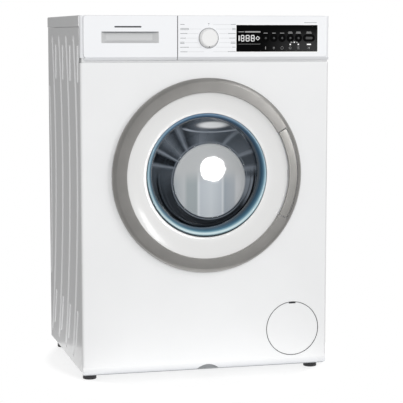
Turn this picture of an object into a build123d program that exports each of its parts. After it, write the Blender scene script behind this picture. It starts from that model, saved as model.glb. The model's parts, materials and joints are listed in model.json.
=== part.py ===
"""Front load washing machine, 597 wide, 845 high and 465 deep without its door. Millimetres.

X runs to the right and Y to the back, seen from the front, and Z runs up.
The origin is the middle of the whole machine on the floor.
Every piece is a shape in one dictionary, and each becomes parts/NAME.step.
"""

from build123d import *

import os

# Outside of the cabinet
WIDTH = 597
HEIGHT = 845
CABINET_DEPTH = 465
DOOR_PROUD = 24
REAR_PROUD = 8
OVERALL_DEPTH = CABINET_DEPTH + DOOR_PROUD + REAR_PROUD
FRONT = -OVERALL_DEPTH / 2 + DOOR_PROUD
REAR = FRONT + CABINET_DEPTH
BODY_BOTTOM = 22
WORKTOP_HEIGHT = 26
WORKTOP_BOTTOM = HEIGHT - WORKTOP_HEIGHT
WORKTOP_START = FRONT + 6
SHEET = 1
PANEL_X = WIDTH / 2 - 2
CORNER_RADIUS = 6
FRONT_RETURN = 14
BAND_INSET = 3

# Ribs pressed into the side panels, measured back from the front face
RIB_COUNT = 4
RIB_PITCH = 104
RIB_FIRST = 84
RIB_TOP = 790
RIB_BOTTOM = 48
RIB_BOW = 36
RIB_LEAN = 43
RIB_WIDTH = 22
RIB_DEPTH = 5
BEAD_WIDTH = 14
BEAD_HEIGHT = 2

# Fittings and holes in the back, as X and Z
TRANSIT_HOLES = ((-205, 655), (205, 655), (-205, 250), (205, 250))
INLET_X, INLET_Z = 225, 770
DRAIN_X, DRAIN_Z = -235, 730
GLAND_X, GLAND_Z = -250, 120
SERVICE_SIZE = 372
SERVICE_BULGE_RADIUS = 160

# Control panel
PANEL_TOP = 738
FASCIA_BOTTOM = 749
FASCIA_PROUD = 8
FASCIA_X = 290
FASCIA_SKIN = 2.5
DRAWER_SEAM_X = -71.4
SEAM_GAP = 1
CONTROL_Z = 793.5
KNOB_X = 2
KNOB_RADIUS = 22.5
KNOB_SHAFT_RADIUS = 4.95
DISPLAY_X0, DISPLAY_X1 = 68, 265.6
DISPLAY_Z0, DISPLAY_Z1 = 762, 823.7
BUTTON_XS = (138.7, 158.7, 178.7, 198.7, 218.7)
BUTTON_RADIUS = 8.6
START_X = 244.5
START_SIZE = (29, 15.6)

# Detergent drawer
DRAWER_X0, DRAWER_X1 = -280, -78
DRAWER_Z0, DRAWER_Z1 = 757, 811
DRAWER_LENGTH = 262
DRAWER_WALL = 2
GRIP_X, GRIP_Z = -182, 795.5
GRIP_SIZE = (133, 26)
GRIP_FLOOR_SIZE = (110, 18.5)
GRIP_DEPTH = 18
DRAWER_COMPARTMENTS = ((-278, -190), (-188, -136), (-134, -80))

# Door, round the drum's axis
AXIS_Z = 476
DOOR_RADIUS = 226.5
RING_INNER = 193.5
GLASS_RADIUS = 145.3
MOUTH_RADIUS = 172
DOOR_AXIS_X = -212
DOOR_AXIS_Y = FRONT - 10
HINGE_PIN_RADIUS = 2.5
KNUCKLE_Z = 38
KNUCKLE_LENGTH = 14
HANDLE_ANGLES = (-28.6, 30.0)
HANDLE_INNER, HANDLE_OUTER = 194.6, 214.8
HANDLE_GAP_RADIUS = 216.6
HANDLE_PIN_X = 211
HANDLE_PIN_Y = FRONT - 18
HANDLE_PIN_RADIUS = 1.3
LATCH_X = 184
LATCH_PIN_Y = FRONT - 2.4

# Tub, drum and drive
TUB_RADIUS = 258
TUB_WALL = 4
TUB_FRONT = -150
TUB_SEAM = 8
TUB_REAR = 164
DRUM_RADIUS = 236
DRUM_FRONT = -128
DRUM_REAR = 133
SHAFT_FRONT_RADIUS = 14.96
SHAFT_REAR_RADIUS = 12.46
PULLEY_RADIUS = 140
MOTOR_PULLEY_RADIUS = 10
PULLEY_Y0, PULLEY_Y1 = 199, 213
MOTOR_X, MOTOR_Z = 40, 140
MOTOR_RADIUS = 56
DAMPER_X, DAMPER_Y = 180, 24
SPRING_X, SPRING_Y = 262, 110
SUMP_X, SUMP_Y = 205, -100

# Pump behind the round cover
PUMP_X, PUMP_Z = 211.2, 104
PUMP_COVER_RADIUS = 63.2
FILTER_RADIUS = 32.9

# Feet
FOOT_X = 272
FOOT_YS = (FRONT + 47, REAR - 47)
FOOT_RADIUS = 16
STUD_RADIUS = 5

pieces = {}


def box(x0, x1, y0, y1, z0, z1):
    """A block between two corners."""
    centre = Pos((x0 + x1) / 2, (y0 + y1) / 2, (z0 + z1) / 2)
    return centre * Box(x1 - x0, y1 - y0, z1 - z0)


def along_y(sketch, y0, y1):
    """A sketch drawn in X and Z, pulled from y0 back to y1."""
    return extrude(Plane.XZ.offset(-y0) * sketch, amount=-(y1 - y0))


def rod_y(x, z, y0, y1, radius):
    return along_y(Pos(x, z) * Circle(radius), y0, y1)


def rod_z(x, y, z0, z1, radius):
    return Pos(x, y, (z0 + z1) / 2) * Cylinder(radius, z1 - z0)


def turned(points, x=0, z=AXIS_Z):
    """A profile of (radius, y) points turned round the line along Y through x and z."""
    profile = make_face(Polyline(*points, close=True))
    return Pos(x, 0, z) * revolve(profile, Axis.Y)


def behind_front(points):
    """Points given as (radius, depth behind the front face), as (radius, y)."""
    return [(radius, FRONT + depth) for radius, depth in points]


def sector(r_inner, r_outer, start, end):
    """A piece of a flat ring round the drum's axis, between two angles in degrees."""
    reach = 3 * r_outer
    corners = [Vector(reach, 0).rotate(Axis.Z, angle) for angle in (start, (start + end) / 2, end)]
    slice_of = make_face(Polyline((0, 0), *[(c.X, c.Y) for c in corners], close=True))
    ring = Circle(r_outer) - Circle(r_inner)
    return Pos(0, AXIS_Z) * (ring & slice_of)


def slot_between(start, end, width):
    """A round-ended slot between two points of a sketch."""
    run = Vector(*end) - Vector(*start)
    middle = (Vector(*start) + Vector(*end)) * 0.5
    angle = run.get_signed_angle(Vector(1, 0, 0), Vector(0, 0, -1))
    return Pos(middle.X, middle.Y) * SlotCenterToCenter(run.length, width, rotation=angle)


# Cabinet


def rib_outlines():
    """Outlines of the long grooves and of the short raised beads, in Y and Z."""
    grooves = []
    beads = []
    for index in range(RIB_COUNT):
        y = FRONT + RIB_FIRST + index * RIB_PITCH
        middle = (y - RIB_BOW, (RIB_TOP + RIB_BOTTOM) / 2)
        spine = ThreePointArc((y, RIB_TOP), middle, (y + RIB_LEAN, RIB_BOTTOM))
        grooves.append(SlotArc(spine, RIB_WIDTH))
        beads.append(slot_between((y - 50, 698), (y - 50, 771), BEAD_WIDTH))
        beads.append(slot_between((y - 22, 153), (y + 6, 74), BEAD_WIDTH))
    y = FRONT + 446
    grooves.append(SlotArc(ThreePointArc((y, 666), (y - 14, 430), (y, 196)), RIB_WIDTH - 4))
    return grooves, beads


def side_panel():
    """The left side panel: a sheet with a rear flange, pressed in and out."""
    skin = -PANEL_X
    inside = skin + SHEET
    panel = box(skin, inside, FRONT + FRONT_RETURN + 0.2, REAR, BODY_BOTTOM, WORKTOP_BOTTOM - 0.5)
    panel += box(skin, skin + 16, REAR - 2 * SHEET - 0.2, REAR - SHEET - 0.2, 66, WORKTOP_BOTTOM - 4)
    grooves, beads = rib_outlines()
    for outline in grooves:
        panel += extrude(Plane.YZ.offset(inside) * outline, amount=RIB_DEPTH, taper=52)
    for outline in grooves:
        panel -= extrude(Plane.YZ.offset(skin) * outline, amount=RIB_DEPTH, taper=52)
    for outline in beads:
        panel += extrude(Plane.YZ.offset(skin) * outline, amount=-BEAD_HEIGHT, taper=45)
    for outline in beads:
        panel -= extrude(Plane.YZ.offset(inside) * outline, amount=-BEAD_HEIGHT, taper=45)
    return panel


def front_block(inset):
    """The front panel's outside, or with an inset the space inside it."""
    x = PANEL_X - inset
    y0 = FRONT + inset
    y1 = FRONT + FRONT_RETURN + (1 if inset else 0)
    block = box(-x, x, y0, y1, BODY_BOTTOM + inset, PANEL_TOP - inset)
    low_edge = block.edges().filter_by(Axis.X).group_by(Axis.Y)[0].sort_by(Axis.Z)[0]
    block = fillet(low_edge, 9 - inset)
    uprights = block.edges().filter_by(Axis.Z).group_by(Axis.Y)[0]
    return fillet(uprights, CORNER_RADIUS - inset)


def recessed_band():
    """The set-back strip between the front panel and the control panel."""
    x = PANEL_X - BAND_INSET
    y0 = FRONT + BAND_INSET
    z0, z1 = PANEL_TOP - SHEET, FASCIA_BOTTOM - 0.5
    band = box(-x, x, y0, FRONT + FRONT_RETURN, z0, z1)
    band = fillet(band.edges().filter_by(Axis.Z).group_by(Axis.Y)[0], 4)
    return band - box(-x + SHEET, x - SHEET, y0 + SHEET, FRONT + FRONT_RETURN + 1, z0 - 1, z1 + 1)


def front_panel():
    panel = front_block(0) - front_block(SHEET)
    panel += recessed_band()
    panel -= rod_y(0, AXIS_Z, FRONT - 1, FRONT + 20, MOUTH_RADIUS + SHEET)
    lip = behind_front([(MOUTH_RADIUS, 0), (MOUTH_RADIUS + SHEET, 0)])
    lip += behind_front([(MOUTH_RADIUS + SHEET, 12), (MOUTH_RADIUS, 12)])
    panel += turned(lip)
    pocket = box(-225.5, -197, FRONT - 1, FRONT + 9, AXIS_Z - 86, AXIS_Z + 86)
    pocket &= rod_y(0, AXIS_Z, FRONT - 1, FRONT + 9, 225.5)
    pan = box(-226.5, -196, FRONT, FRONT + 10, AXIS_Z - 87, AXIS_Z + 87)
    pan &= rod_y(0, AXIS_Z, FRONT, FRONT + 10, 226.5)
    panel = panel + pan - pocket
    panel -= box(LATCH_X - 7, LATCH_X + 13, FRONT - 1, FRONT + 2, AXIS_Z - 9, AXIS_Z + 9)
    panel -= rod_y(PUMP_X, PUMP_Z, FRONT - 1, FRONT + 2, PUMP_COVER_RADIUS + 0.5)
    notch_radius = 45.3
    notch_top = BODY_BOTTOM + 10.5
    panel -= rod_y(3, notch_top - notch_radius, FRONT - 1, FRONT + 20, notch_radius)
    return panel


def rear_panel():
    """The back sheet, with the service opening and the holes for water, mains and transit bolts."""
    panel = box(-PANEL_X + 2, PANEL_X - 2, REAR - SHEET, REAR, 64, WORKTOP_BOTTOM - 1)
    panel -= rod_y(0, AXIS_Z - 20, REAR - 5, REAR + 5, 168)
    for x, z in TRANSIT_HOLES:
        panel -= rod_y(x, z, REAR - 5, REAR + 5, 11)
    panel -= rod_y(INLET_X, INLET_Z, REAR - 5, REAR + 5, 24)
    panel -= rod_y(DRAIN_X, DRAIN_Z, REAR - 5, REAR + 5, 17)
    panel -= rod_y(GLAND_X, GLAND_Z, REAR - 5, REAR + 5, 9)
    return panel


def rear_service_cover():
    """A pressed round-cornered cover over the drum pulley, standing proud of the back."""
    z = AXIS_Z - 20
    rim = Pos(0, z) * RectangleRounded(SERVICE_SIZE, SERVICE_SIZE, 60)
    cover = along_y(rim, REAR, REAR + SHEET)
    outside = Plane.XZ.offset(-REAR) * (Pos(0, z) * Circle(SERVICE_BULGE_RADIUS))
    inside = Plane.XZ.offset(-REAR) * (Pos(0, z) * Circle(SERVICE_BULGE_RADIUS - 1.4))
    cover += extrude(outside, amount=-REAR_PROUD, taper=40)
    return cover - extrude(inside, amount=-REAR_PROUD + SHEET, taper=40)


def worktop():
    top = box(-WIDTH / 2, WIDTH / 2, WORKTOP_START, REAR + 3, WORKTOP_BOTTOM, HEIGHT)
    corners = top.edges().filter_by(Axis.Z).group_by(Axis.Y)[-1]
    top = fillet(corners, 9)
    upper = top.faces().sort_by(Axis.Z)[-1].edges()
    top = fillet(upper, 3)
    lower = top.faces().sort_by(Axis.Z)[0].edges()
    return fillet(lower, 2)


def base_frame():
    """The tray that ties the panels together and takes the feet and dampers."""
    x = PANEL_X - 8
    y0, y1 = FRONT + 16, REAR - 4
    top = 60
    wall = 2.5
    frame = box(-x, x, y0, y1, BODY_BOTTOM, top)
    frame -= box(-x + wall, x - wall, y0 + wall, y1 - wall, BODY_BOTTOM + wall, top + 1)
    frame -= box(-150, 150, -110, 130, BODY_BOTTOM - 1, BODY_BOTTOM + wall + 1)
    for side in (-1, 1):
        for y in FOOT_YS:
            frame += rod_z(side * FOOT_X, y, BODY_BOTTOM, top, 15)
        frame += rod_z(side * DAMPER_X, DAMPER_Y, BODY_BOTTOM, 62, 20)
    frame -= rod_y(PUMP_X, PUMP_Z, y0 - 1, FRONT + 40, 71)
    for side in (-1, 1):
        for y in FOOT_YS:
            frame -= rod_z(side * FOOT_X, y, 0, top + 1, STUD_RADIUS + 0.06)
    return frame




def damper_cylinders():
    cylinders = []
    for side in (-1, 1):
        tube = rod_z(side * DAMPER_X, DAMPER_Y, 62, 200, 14)
        tube -= rod_z(side * DAMPER_X, DAMPER_Y, 80, 201, 5.1)
        cylinders.append(tube)
    return Compound(children=cylinders)


def cross_braces():
    """The rails under the worktop and the two brackets that the springs hang from."""
    x = PANEL_X - SHEET - 0.5
    rails = [box(-x, x, FRONT + 22, FRONT + 60, 739, 747)]
    rails.append(box(-x + 16, x - 16, REAR - 26, REAR - 4, 800, 816))
    for side in (-1, 1):
        bracket = box(SPRING_X - 12, x, SPRING_Y - 15, SPRING_Y + 15, 792, 800)
        rails.append(bracket if side > 0 else mirror(bracket, Plane.YZ))
    return Compound(children=rails)


def cabinet_screws():
    """Pan-head screws round the back, in one group."""
    screws = []
    cover_spots = [(x, AXIS_Z - 20 + z) for x in (-172, 172) for z in (-120, 120)]
    edge_spots = [(x, z) for x in (-284, 284) for z in (110, 300, 500, 690)]
    for x, z in cover_spots:
        screws.append(rod_y(x, z, REAR + SHEET, REAR + SHEET + 2.5, 4.5))
    for x, z in edge_spots:
        screws.append(rod_y(x, z, REAR, REAR + 2.5, 4.5))
    return Compound(children=screws)


def transit_hole_plugs():
    plugs = []
    for x, z in TRANSIT_HOLES:
        plug = rod_y(x, z, REAR, REAR + 3, 15)
        plug += rod_y(x, z, REAR - 8, REAR, 10.8)
        plug -= rod_y(x, z, REAR - 9, REAR - 1, 8.5)
        plugs.append(plug)
    return Compound(children=plugs)


def inlet_valve():
    """The water valve: a body on a plate behind the panel and a 3/4 inch nozzle through it."""
    valve = rod_y(INLET_X, INLET_Z, REAR - 4, REAR - SHEET, 30)
    valve += box(INLET_X - 20, INLET_X + 20, REAR - 60, REAR - 4, INLET_Z - 18, INLET_Z + 18)
    valve += rod_y(INLET_X, INLET_Z, REAR - SHEET, REAR + REAR_PROUD, 13.2)
    valve -= rod_y(INLET_X, INLET_Z, REAR - 20, REAR + REAR_PROUD + 1, 9)
    return valve


def drain_outlet():
    outlet = rod_y(DRAIN_X, DRAIN_Z, REAR - 6, REAR - SHEET, 24)
    outlet += rod_y(DRAIN_X, DRAIN_Z, REAR - 30, REAR + REAR_PROUD, 11)
    outlet -= rod_y(DRAIN_X, DRAIN_Z, REAR - 29, REAR + REAR_PROUD + 1, 9)
    return outlet


def mains_gland():
    gland = rod_y(GLAND_X, GLAND_Z, REAR, REAR + 6, 13)
    gland += rod_y(GLAND_X, GLAND_Z, REAR - 10, REAR, 8.8)
    gland -= rod_y(GLAND_X, GLAND_Z, REAR - 11, REAR + 7, 3.6)
    return gland


# Control panel


def fascia():
    """The control panel: a carrier with round corners and the raised face right of the drawer."""
    x = PANEL_X
    back = FRONT + 20
    deck = WORKTOP_START - 0.3
    carrier = box(-x, x, FRONT, deck, FASCIA_BOTTOM, HEIGHT)
    uprights = carrier.edges().filter_by(Axis.Z).group_by(Axis.Y)[0]
    carrier = fillet(uprights, CORNER_RADIUS - 0.5)
    carrier += box(-x + 3, x - 3, deck, back, FASCIA_BOTTOM, WORKTOP_BOTTOM - 0.5)
    face = box(DRAWER_SEAM_X + SEAM_GAP, FASCIA_X, FRONT - FASCIA_PROUD, FRONT, FASCIA_BOTTOM, HEIGHT)
    right_corners = face.edges().filter_by(Axis.Y).sort_by(Axis.X)[-2:]
    face = fillet(right_corners, 7)
    front_face = face.faces().sort_by(Axis.Y)[0]
    right_arc = front_face.edges().sort_by(Axis.X)[1:]
    face = fillet(right_arc, 2.5)
    panel = carrier + face
    panel -= box(DRAWER_SEAM_X + 8, FASCIA_X - 6, FRONT - FASCIA_PROUD + FASCIA_SKIN, back + 1,
                 FASCIA_BOTTOM + FASCIA_SKIN, WORKTOP_BOTTOM - 4)
    panel -= box(-286, DRAWER_SEAM_X - 3, FRONT - 1, back + 1, FASCIA_BOTTOM + 4, WORKTOP_BOTTOM - 4)
    panel -= box(DISPLAY_X0, DISPLAY_X1, FRONT - 10, FRONT - 1, DISPLAY_Z0, DISPLAY_Z1)
    panel -= rod_y(KNOB_X, CONTROL_Z, FRONT - 10, FRONT, KNOB_SHAFT_RADIUS + 0.06)
    return panel


def button_outlines(clearance):
    shapes = [Pos(x, CONTROL_Z) * Circle(BUTTON_RADIUS + clearance) for x in BUTTON_XS]
    width, height = START_SIZE
    start = SlotOverall(width + 2 * clearance, height + 2 * clearance)
    return shapes + [Pos(START_X, CONTROL_Z) * start]


def display_window():
    gap = 0.3
    sketch = Pos((DISPLAY_X0 + DISPLAY_X1) / 2, (DISPLAY_Z0 + DISPLAY_Z1) / 2) * RectangleRounded(
        DISPLAY_X1 - DISPLAY_X0 - gap, DISPLAY_Z1 - DISPLAY_Z0 - gap, 2)
    window = along_y(sketch, FRONT - FASCIA_PROUD - 0.4, FRONT - FASCIA_PROUD + 2.4)
    for outline in button_outlines(0.4):
        window -= along_y(outline, FRONT - 12, FRONT)
    return window


def buttons():
    """Each push button: a cap through the window and a collar that stops behind it."""
    caps = button_outlines(0)
    collars = button_outlines(1.1)
    names = [f"option_button_{index + 1}" for index in range(len(BUTTON_XS))] + ["start_button"]
    for name, cap, collar in zip(names, caps, collars):
        button = along_y(cap, FRONT - FASCIA_PROUD - 1.4, FRONT + 3)
        button += along_y(collar, FRONT - FASCIA_PROUD + 2.7, FRONT - FASCIA_PROUD + 4)
        pieces[name] = button


def control_board():
    board = box(-30, 272, FRONT + 8, FRONT + 9.6, 760, 812)
    for x in BUTTON_XS + (START_X,):
        board += box(x - 3, x + 3, FRONT + 4.6, FRONT + 8, CONTROL_Z - 3, CONTROL_Z + 3)
    board += box(KNOB_X - 7, KNOB_X + 7, FRONT + 3.6, FRONT + 8, CONTROL_Z - 7, CONTROL_Z + 7)
    board += box(76, 126, FRONT - 5, FRONT + 8, CONTROL_Z - 12, CONTROL_Z + 12)
    return board


def program_knob():
    knob_front = FRONT - 18
    knob_back = FRONT - FASCIA_PROUD - 0.8
    knob = rod_y(KNOB_X, CONTROL_Z, knob_front, knob_back, KNOB_RADIUS)
    knob = fillet(knob.edges().group_by(Axis.Y)[0], 1.2)
    return knob + rod_y(KNOB_X, CONTROL_Z, knob_back, FRONT + 3, KNOB_SHAFT_RADIUS)


# Detergent drawer


def grip_cavity(offset):
    """The finger recess in the drawer front, or its outside skin with an offset."""
    width, height = GRIP_SIZE
    floor_width, floor_height = GRIP_FLOOR_SIZE
    y0 = FRONT - FASCIA_PROUD
    mouth = Plane.XZ.offset(-y0) * (Pos(GRIP_X, GRIP_Z) * Rectangle(width + offset, height + offset))
    floor = Rectangle(floor_width + offset, floor_height + offset)
    end = Plane.XZ.offset(-(y0 + GRIP_DEPTH + offset / 2)) * (Pos(GRIP_X, GRIP_Z) * floor)
    return loft([mouth.faces()[0], end.faces()[0]])


def drawer_front():
    x1 = DRAWER_SEAM_X - SEAM_GAP
    front = box(-FASCIA_X, x1, FRONT - FASCIA_PROUD, FRONT - 0.4, FASCIA_BOTTOM, HEIGHT)
    left_corners = front.edges().filter_by(Axis.Y).sort_by(Axis.X)[:2]
    front = fillet(left_corners, 7)
    left_arc = front.faces().sort_by(Axis.Y)[0].edges().sort_by(Axis.X)[:-1]
    front = fillet(left_arc, 2.5)
    front -= box(-FASCIA_X + 4, x1 - 4, FRONT - FASCIA_PROUD + FASCIA_SKIN, FRONT + 1,
                 FASCIA_BOTTOM + 4, HEIGHT - 4)
    front += grip_cavity(2 * DRAWER_WALL)
    front -= grip_cavity(0)
    return front


def drawer_tray():
    """Three compartments: main wash, softener and prewash."""
    y0 = FRONT - FASCIA_PROUD + FASCIA_SKIN + 0.2
    y1 = FRONT + DRAWER_LENGTH
    wall = DRAWER_WALL
    tray = box(DRAWER_X0, DRAWER_X1, y0, y1, DRAWER_Z0, DRAWER_Z1)
    for x0, x1 in DRAWER_COMPARTMENTS:
        tray -= box(x0, x1, FRONT + 18, y1 - wall, DRAWER_Z0 + wall, DRAWER_Z1 + 1)
    tray -= box(DRAWER_X0 - 1, DRAWER_X1 + 1, y0 - 1, FRONT + 15, GRIP_Z - 17, DRAWER_Z1 + 1)
    return tray




def drawer_housing():
    x0, x1 = DRAWER_X0 - 3, DRAWER_X1 + 3
    z0, z1 = DRAWER_Z0 - 3, WORKTOP_BOTTOM - 4.5
    y0, y1 = FRONT + 20.5, FRONT + DRAWER_LENGTH + 12
    housing = box(x0, x1, y0, y1, z0, z1)
    return housing - box(x0 + 2, x1 - 2, y0 - 1, y1 - 2, z0 + 2, z1 - 2)


# Door


def door_outer_ring():
    """The satin ring: a shell with the handle's gap, the handle's pin bosses and the hinge's notches."""
    outside = turned(behind_front([
        (RING_INNER, -12.4), (RING_INNER, -23.2), (RING_INNER + 0.8, -24), (218, -20), (222.5, -17.6),
        (DOOR_RADIUS, -12.5), (DOOR_RADIUS, -5), (224.5, -1.5), (200, -1.5), (200, -12.4)]))
    inside = turned(behind_front([
        (196, -21.4), (217, -17.8), (221, -15.6), (224, -11.8), (224, -1), (196, -1)]))
    start, end = HANDLE_ANGLES
    gap = 0.6
    caps = along_y(sector(190, 230, start - gap - 1, start - gap), FRONT - 25, FRONT - 5)
    caps += along_y(sector(190, 230, end + gap, end + gap + 1), FRONT - 25, FRONT - 5)
    bosses = box(205, 220, FRONT - 24, FRONT - 14, AXIS_Z - 54, AXIS_Z - 42)
    bosses += box(205, 220, FRONT - 24, FRONT - 14, AXIS_Z + 42, AXIS_Z + 54)
    ring = outside - inside + (outside & caps) + (outside & bosses)
    ring -= along_y(sector(190, HANDLE_GAP_RADIUS, start - gap, end + gap), FRONT - 25, FRONT - 2)
    ring -= rod_z(HANDLE_PIN_X, HANDLE_PIN_Y, AXIS_Z - 52, AXIS_Z + 52, HANDLE_PIN_RADIUS + 0.08)
    for side in (-1, 1):
        z = AXIS_Z + side * KNUCKLE_Z
        reach = KNUCKLE_LENGTH / 2 + 1.5
        ring -= box(-230, -218, FRONT - 9, FRONT, z - reach, z + reach)
    return ring


def door_handle():
    start, end = HANDLE_ANGLES
    bar = turned(behind_front([
        (HANDLE_INNER, -24), (HANDLE_OUTER, -20.6), (HANDLE_OUTER, -14.5), (HANDLE_INNER, -17.5)]))
    bar &= along_y(sector(HANDLE_INNER - 1, HANDLE_OUTER + 1, start, end), FRONT - 25, FRONT)
    return bar + rod_z(HANDLE_PIN_X, HANDLE_PIN_Y, AXIS_Z - 50.5, AXIS_Z + 50.5, HANDLE_PIN_RADIUS)


def door_funnel():
    """The white dish between the ring and the glass."""
    outer = (192.8, FRONT - 12.2)
    inner = (GLASS_RADIUS + 0.5, FRONT - 4.2)
    face_arc = ThreePointArc(outer, (168, FRONT - 6.4), inner)
    back_arc = ThreePointArc((inner[0], FRONT - 1.2), (168, FRONT - 3.4), (outer[0], FRONT - 9.2))
    rim = Polyline((outer[0], FRONT - 9.2), (199, FRONT - 9.2), (199, FRONT - 12.2), outer)
    profile = make_face([face_arc, Line(inner, (inner[0], FRONT - 1.2)), back_arc, rim])
    dish = Pos(0, 0, AXIS_Z) * revolve(profile, Axis.Y)
    start, end = HANDLE_ANGLES
    return dish - along_y(sector(192.8, 230, start - 2, end + 2), FRONT - 20, FRONT)


def door_glass_bowl():
    """The thick glass bowl that reaches into the drum's mouth."""
    bore = 139
    face = [
        Line((0, FRONT + 60), (84, FRONT + 58)),
        ThreePointArc((84, FRONT + 58), (117, FRONT + 48), (131, FRONT + 24)),
        Line((131, FRONT + 24), (bore, FRONT - 0.8)),
    ]
    flange = Polyline((bore, FRONT - 0.8), (158, FRONT - 0.8), (158, FRONT + 4), (140.8, FRONT + 4))
    back = [
        Line((140.8, FRONT + 4), (136, FRONT + 26)),
        ThreePointArc((136, FRONT + 26), (121, FRONT + 52), (85, FRONT + 64)),
        Line((85, FRONT + 64), (0, FRONT + 66)),
    ]
    axis_side = Line((0, FRONT + 66), (0, FRONT + 60))
    profile = make_face(face + [flange] + back + [axis_side])
    return Pos(0, 0, AXIS_Z) * revolve(profile, Axis.Y)


def door_back_frame():
    """The inner frame that clamps the glass and closes the back of the ring."""
    frame = turned(behind_front([
        (141.5, 4.2), (158.3, 4.2), (158.3, -0.8), (168, -1.6), (177, -4.7), (222, -4.7), (222, -1.8),
        (173.5, -1.8), (170.5, 0.8), (162, 1.5), (162, 7), (141.5, 7)]))
    frame -= box(-230, -172, FRONT - 6, FRONT + 1, AXIS_Z - 74, AXIS_Z + 74)
    return frame - box(LATCH_X - 8, LATCH_X + 12, FRONT - 6, FRONT + 1, AXIS_Z - 9, AXIS_Z + 9)


def door_hinge_arm():
    """The hinge plate in the door's ring, with four lugs and the pin."""
    arm = box(-209, -199, FRONT - 18.4, FRONT - 15.6, AXIS_Z - 52.6, AXIS_Z + 52.6)
    half = KNUCKLE_LENGTH / 2
    for side in (-1, 1):
        for offset in (KNUCKLE_Z - half - 5.6, KNUCKLE_Z + half + 0.6):
            z = AXIS_Z + side * (offset + 2.5)
            arm += box(-209, -205.4, FRONT - 18.4, FRONT - 6, z - 2.5, z + 2.5)
            arm += box(-216.5, -209, FRONT - 13.6, FRONT - 6, z - 2.5, z + 2.5)
    return arm + rod_z(DOOR_AXIS_X, DOOR_AXIS_Y, AXIS_Z - 51, AXIS_Z + 51, HINGE_PIN_RADIUS)


def door_hinge_bracket():
    """The fixed leaf on the front panel, with two knuckles."""
    bracket = box(-195, -174.5, FRONT - 3, FRONT, AXIS_Z - 60, AXIS_Z + 60)
    arm_outline = ((-213, -7.2), (-194, 0), (-188, 0), (-188, -3), (-193, -3.4), (-209.5, -12))
    arm = make_face(Polyline(*arm_outline, close=True))
    half = KNUCKLE_LENGTH / 2
    for side in (-1, 1):
        z = AXIS_Z + side * KNUCKLE_Z
        bracket += Pos(0, FRONT, z - half) * extrude(arm, amount=KNUCKLE_LENGTH)
        bracket += rod_z(DOOR_AXIS_X, DOOR_AXIS_Y, z - half, z + half, 4.4)
    bracket -= rod_z(DOOR_AXIS_X, DOOR_AXIS_Y, AXIS_Z - 60, AXIS_Z + 60, HINGE_PIN_RADIUS + 0.08)
    return bracket


def door_latch_hook():
    hook = box(LATCH_X - 3, LATCH_X + 3, FRONT - 4.4, FRONT + 15, AXIS_Z - 5, AXIS_Z + 5)
    hook += box(LATCH_X + 3, LATCH_X + 6, FRONT + 11, FRONT + 15, AXIS_Z - 5, AXIS_Z + 5)
    return hook + rod_z(LATCH_X, LATCH_PIN_Y, AXIS_Z - 8.6, AXIS_Z + 8.6, 1.8)


def door_lock():
    lock = box(175.5, 206, FRONT + SHEET, FRONT + 27, AXIS_Z - 36, AXIS_Z + 36)
    return lock - box(LATCH_X - 7, LATCH_X + 13, FRONT, FRONT + 22, AXIS_Z - 9, AXIS_Z + 9)


def door_gasket():
    """The rubber bellows between the cabinet's mouth and the tub."""
    return turned([
        (171.4, -216.5), (171.4, -200), (168, -190), (168, -176), (159.4, -161), (159.4, -142),
        (152, -142), (152, -163), (160, -178), (160, -192), (142, -199), (142, -202), (160, -207),
        (163.5, -216.5)])


# Tub and what hangs with it


def tub_front_half():
    outer = TUB_RADIUS
    inner = TUB_RADIUS - TUB_WALL
    return turned([
        (160, TUB_FRONT), (outer - 8, TUB_FRONT), (outer, TUB_FRONT + 8), (outer, TUB_SEAM - 4),
        (outer + 8, TUB_SEAM - 4), (outer + 8, TUB_SEAM), (inner, TUB_SEAM), (inner, TUB_FRONT + 9),
        (inner - 5, TUB_FRONT + 4), (164, TUB_FRONT + 4), (164, TUB_FRONT + 12), (160, TUB_FRONT + 12)])


def tub_rear_half():
    """The rear half with the bearing hub, spring lugs, damper lugs and the heater's opening."""
    outer = TUB_RADIUS
    inner = TUB_RADIUS - TUB_WALL
    seam = TUB_SEAM + 0.2
    wall = TUB_REAR - TUB_WALL
    shell = turned([
        (inner, seam), (outer + 8, seam), (outer + 8, seam + 4), (outer, seam + 4), (outer, TUB_REAR - 8),
        (outer - 8, TUB_REAR), (44, TUB_REAR), (44, 196), (20, 196), (20, 193.2), (26.02, 193.2),
        (26.02, 178), (20, 178), (20, 168.2), (31.02, 168.2), (31.02, 152), (44, 152), (44, wall),
        (inner - 5, wall), (inner, wall - 5)])
    for side in (-1, 1):
        x0, x1 = sorted((side * 200, side * (SPRING_X + 8)))
        shell += box(x0, x1, SPRING_Y - 6, SPRING_Y + 6, 588, 600)
        foot = side * DAMPER_X
        shell += box(foot - 9, foot + 9, DAMPER_Y - 9, DAMPER_Y + 9, 272, 305)
    shell -= rod_y(0, AXIS_Z, seam - 1, wall - 5, inner)
    return shell - box(-33, 33, wall - 6, TUB_REAR + 1, 224, 244)


def counterweights():
    """Two concrete half rings in front and one block on top."""
    upper = along_y(sector(180, 248, 28, 152), TUB_FRONT - 38, TUB_FRONT - 0.3)
    lower = along_y(sector(180, 248, 208, 332), TUB_FRONT - 38, TUB_FRONT - 0.3)
    block = box(-190, 190, 62, 150, 640, 800) - rod_y(0, AXIS_Z, 0, 240, TUB_RADIUS + 0.3)
    return Compound(children=[upper, lower, block])


def drum_bearings():
    front = turned([(15.0, 152), (31, 152), (31, 168), (15.0, 168)])
    rear = turned([(12.5, 178), (26, 178), (26, 193), (12.5, 193)])
    return Compound(children=[front, rear])


def motor_body():
    motor = rod_y(MOTOR_X, MOTOR_Z, 62, 176, MOTOR_RADIUS)
    motor = fillet(motor.edges(), 6)
    motor += box(MOTOR_X - 22, MOTOR_X + 22, 84, 150, MOTOR_Z + 30, 232)
    motor -= rod_y(0, AXIS_Z, 0, 240, TUB_RADIUS + 0.3)
    return motor - rod_y(MOTOR_X, MOTOR_Z, 140, 180, 6.06)


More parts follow.
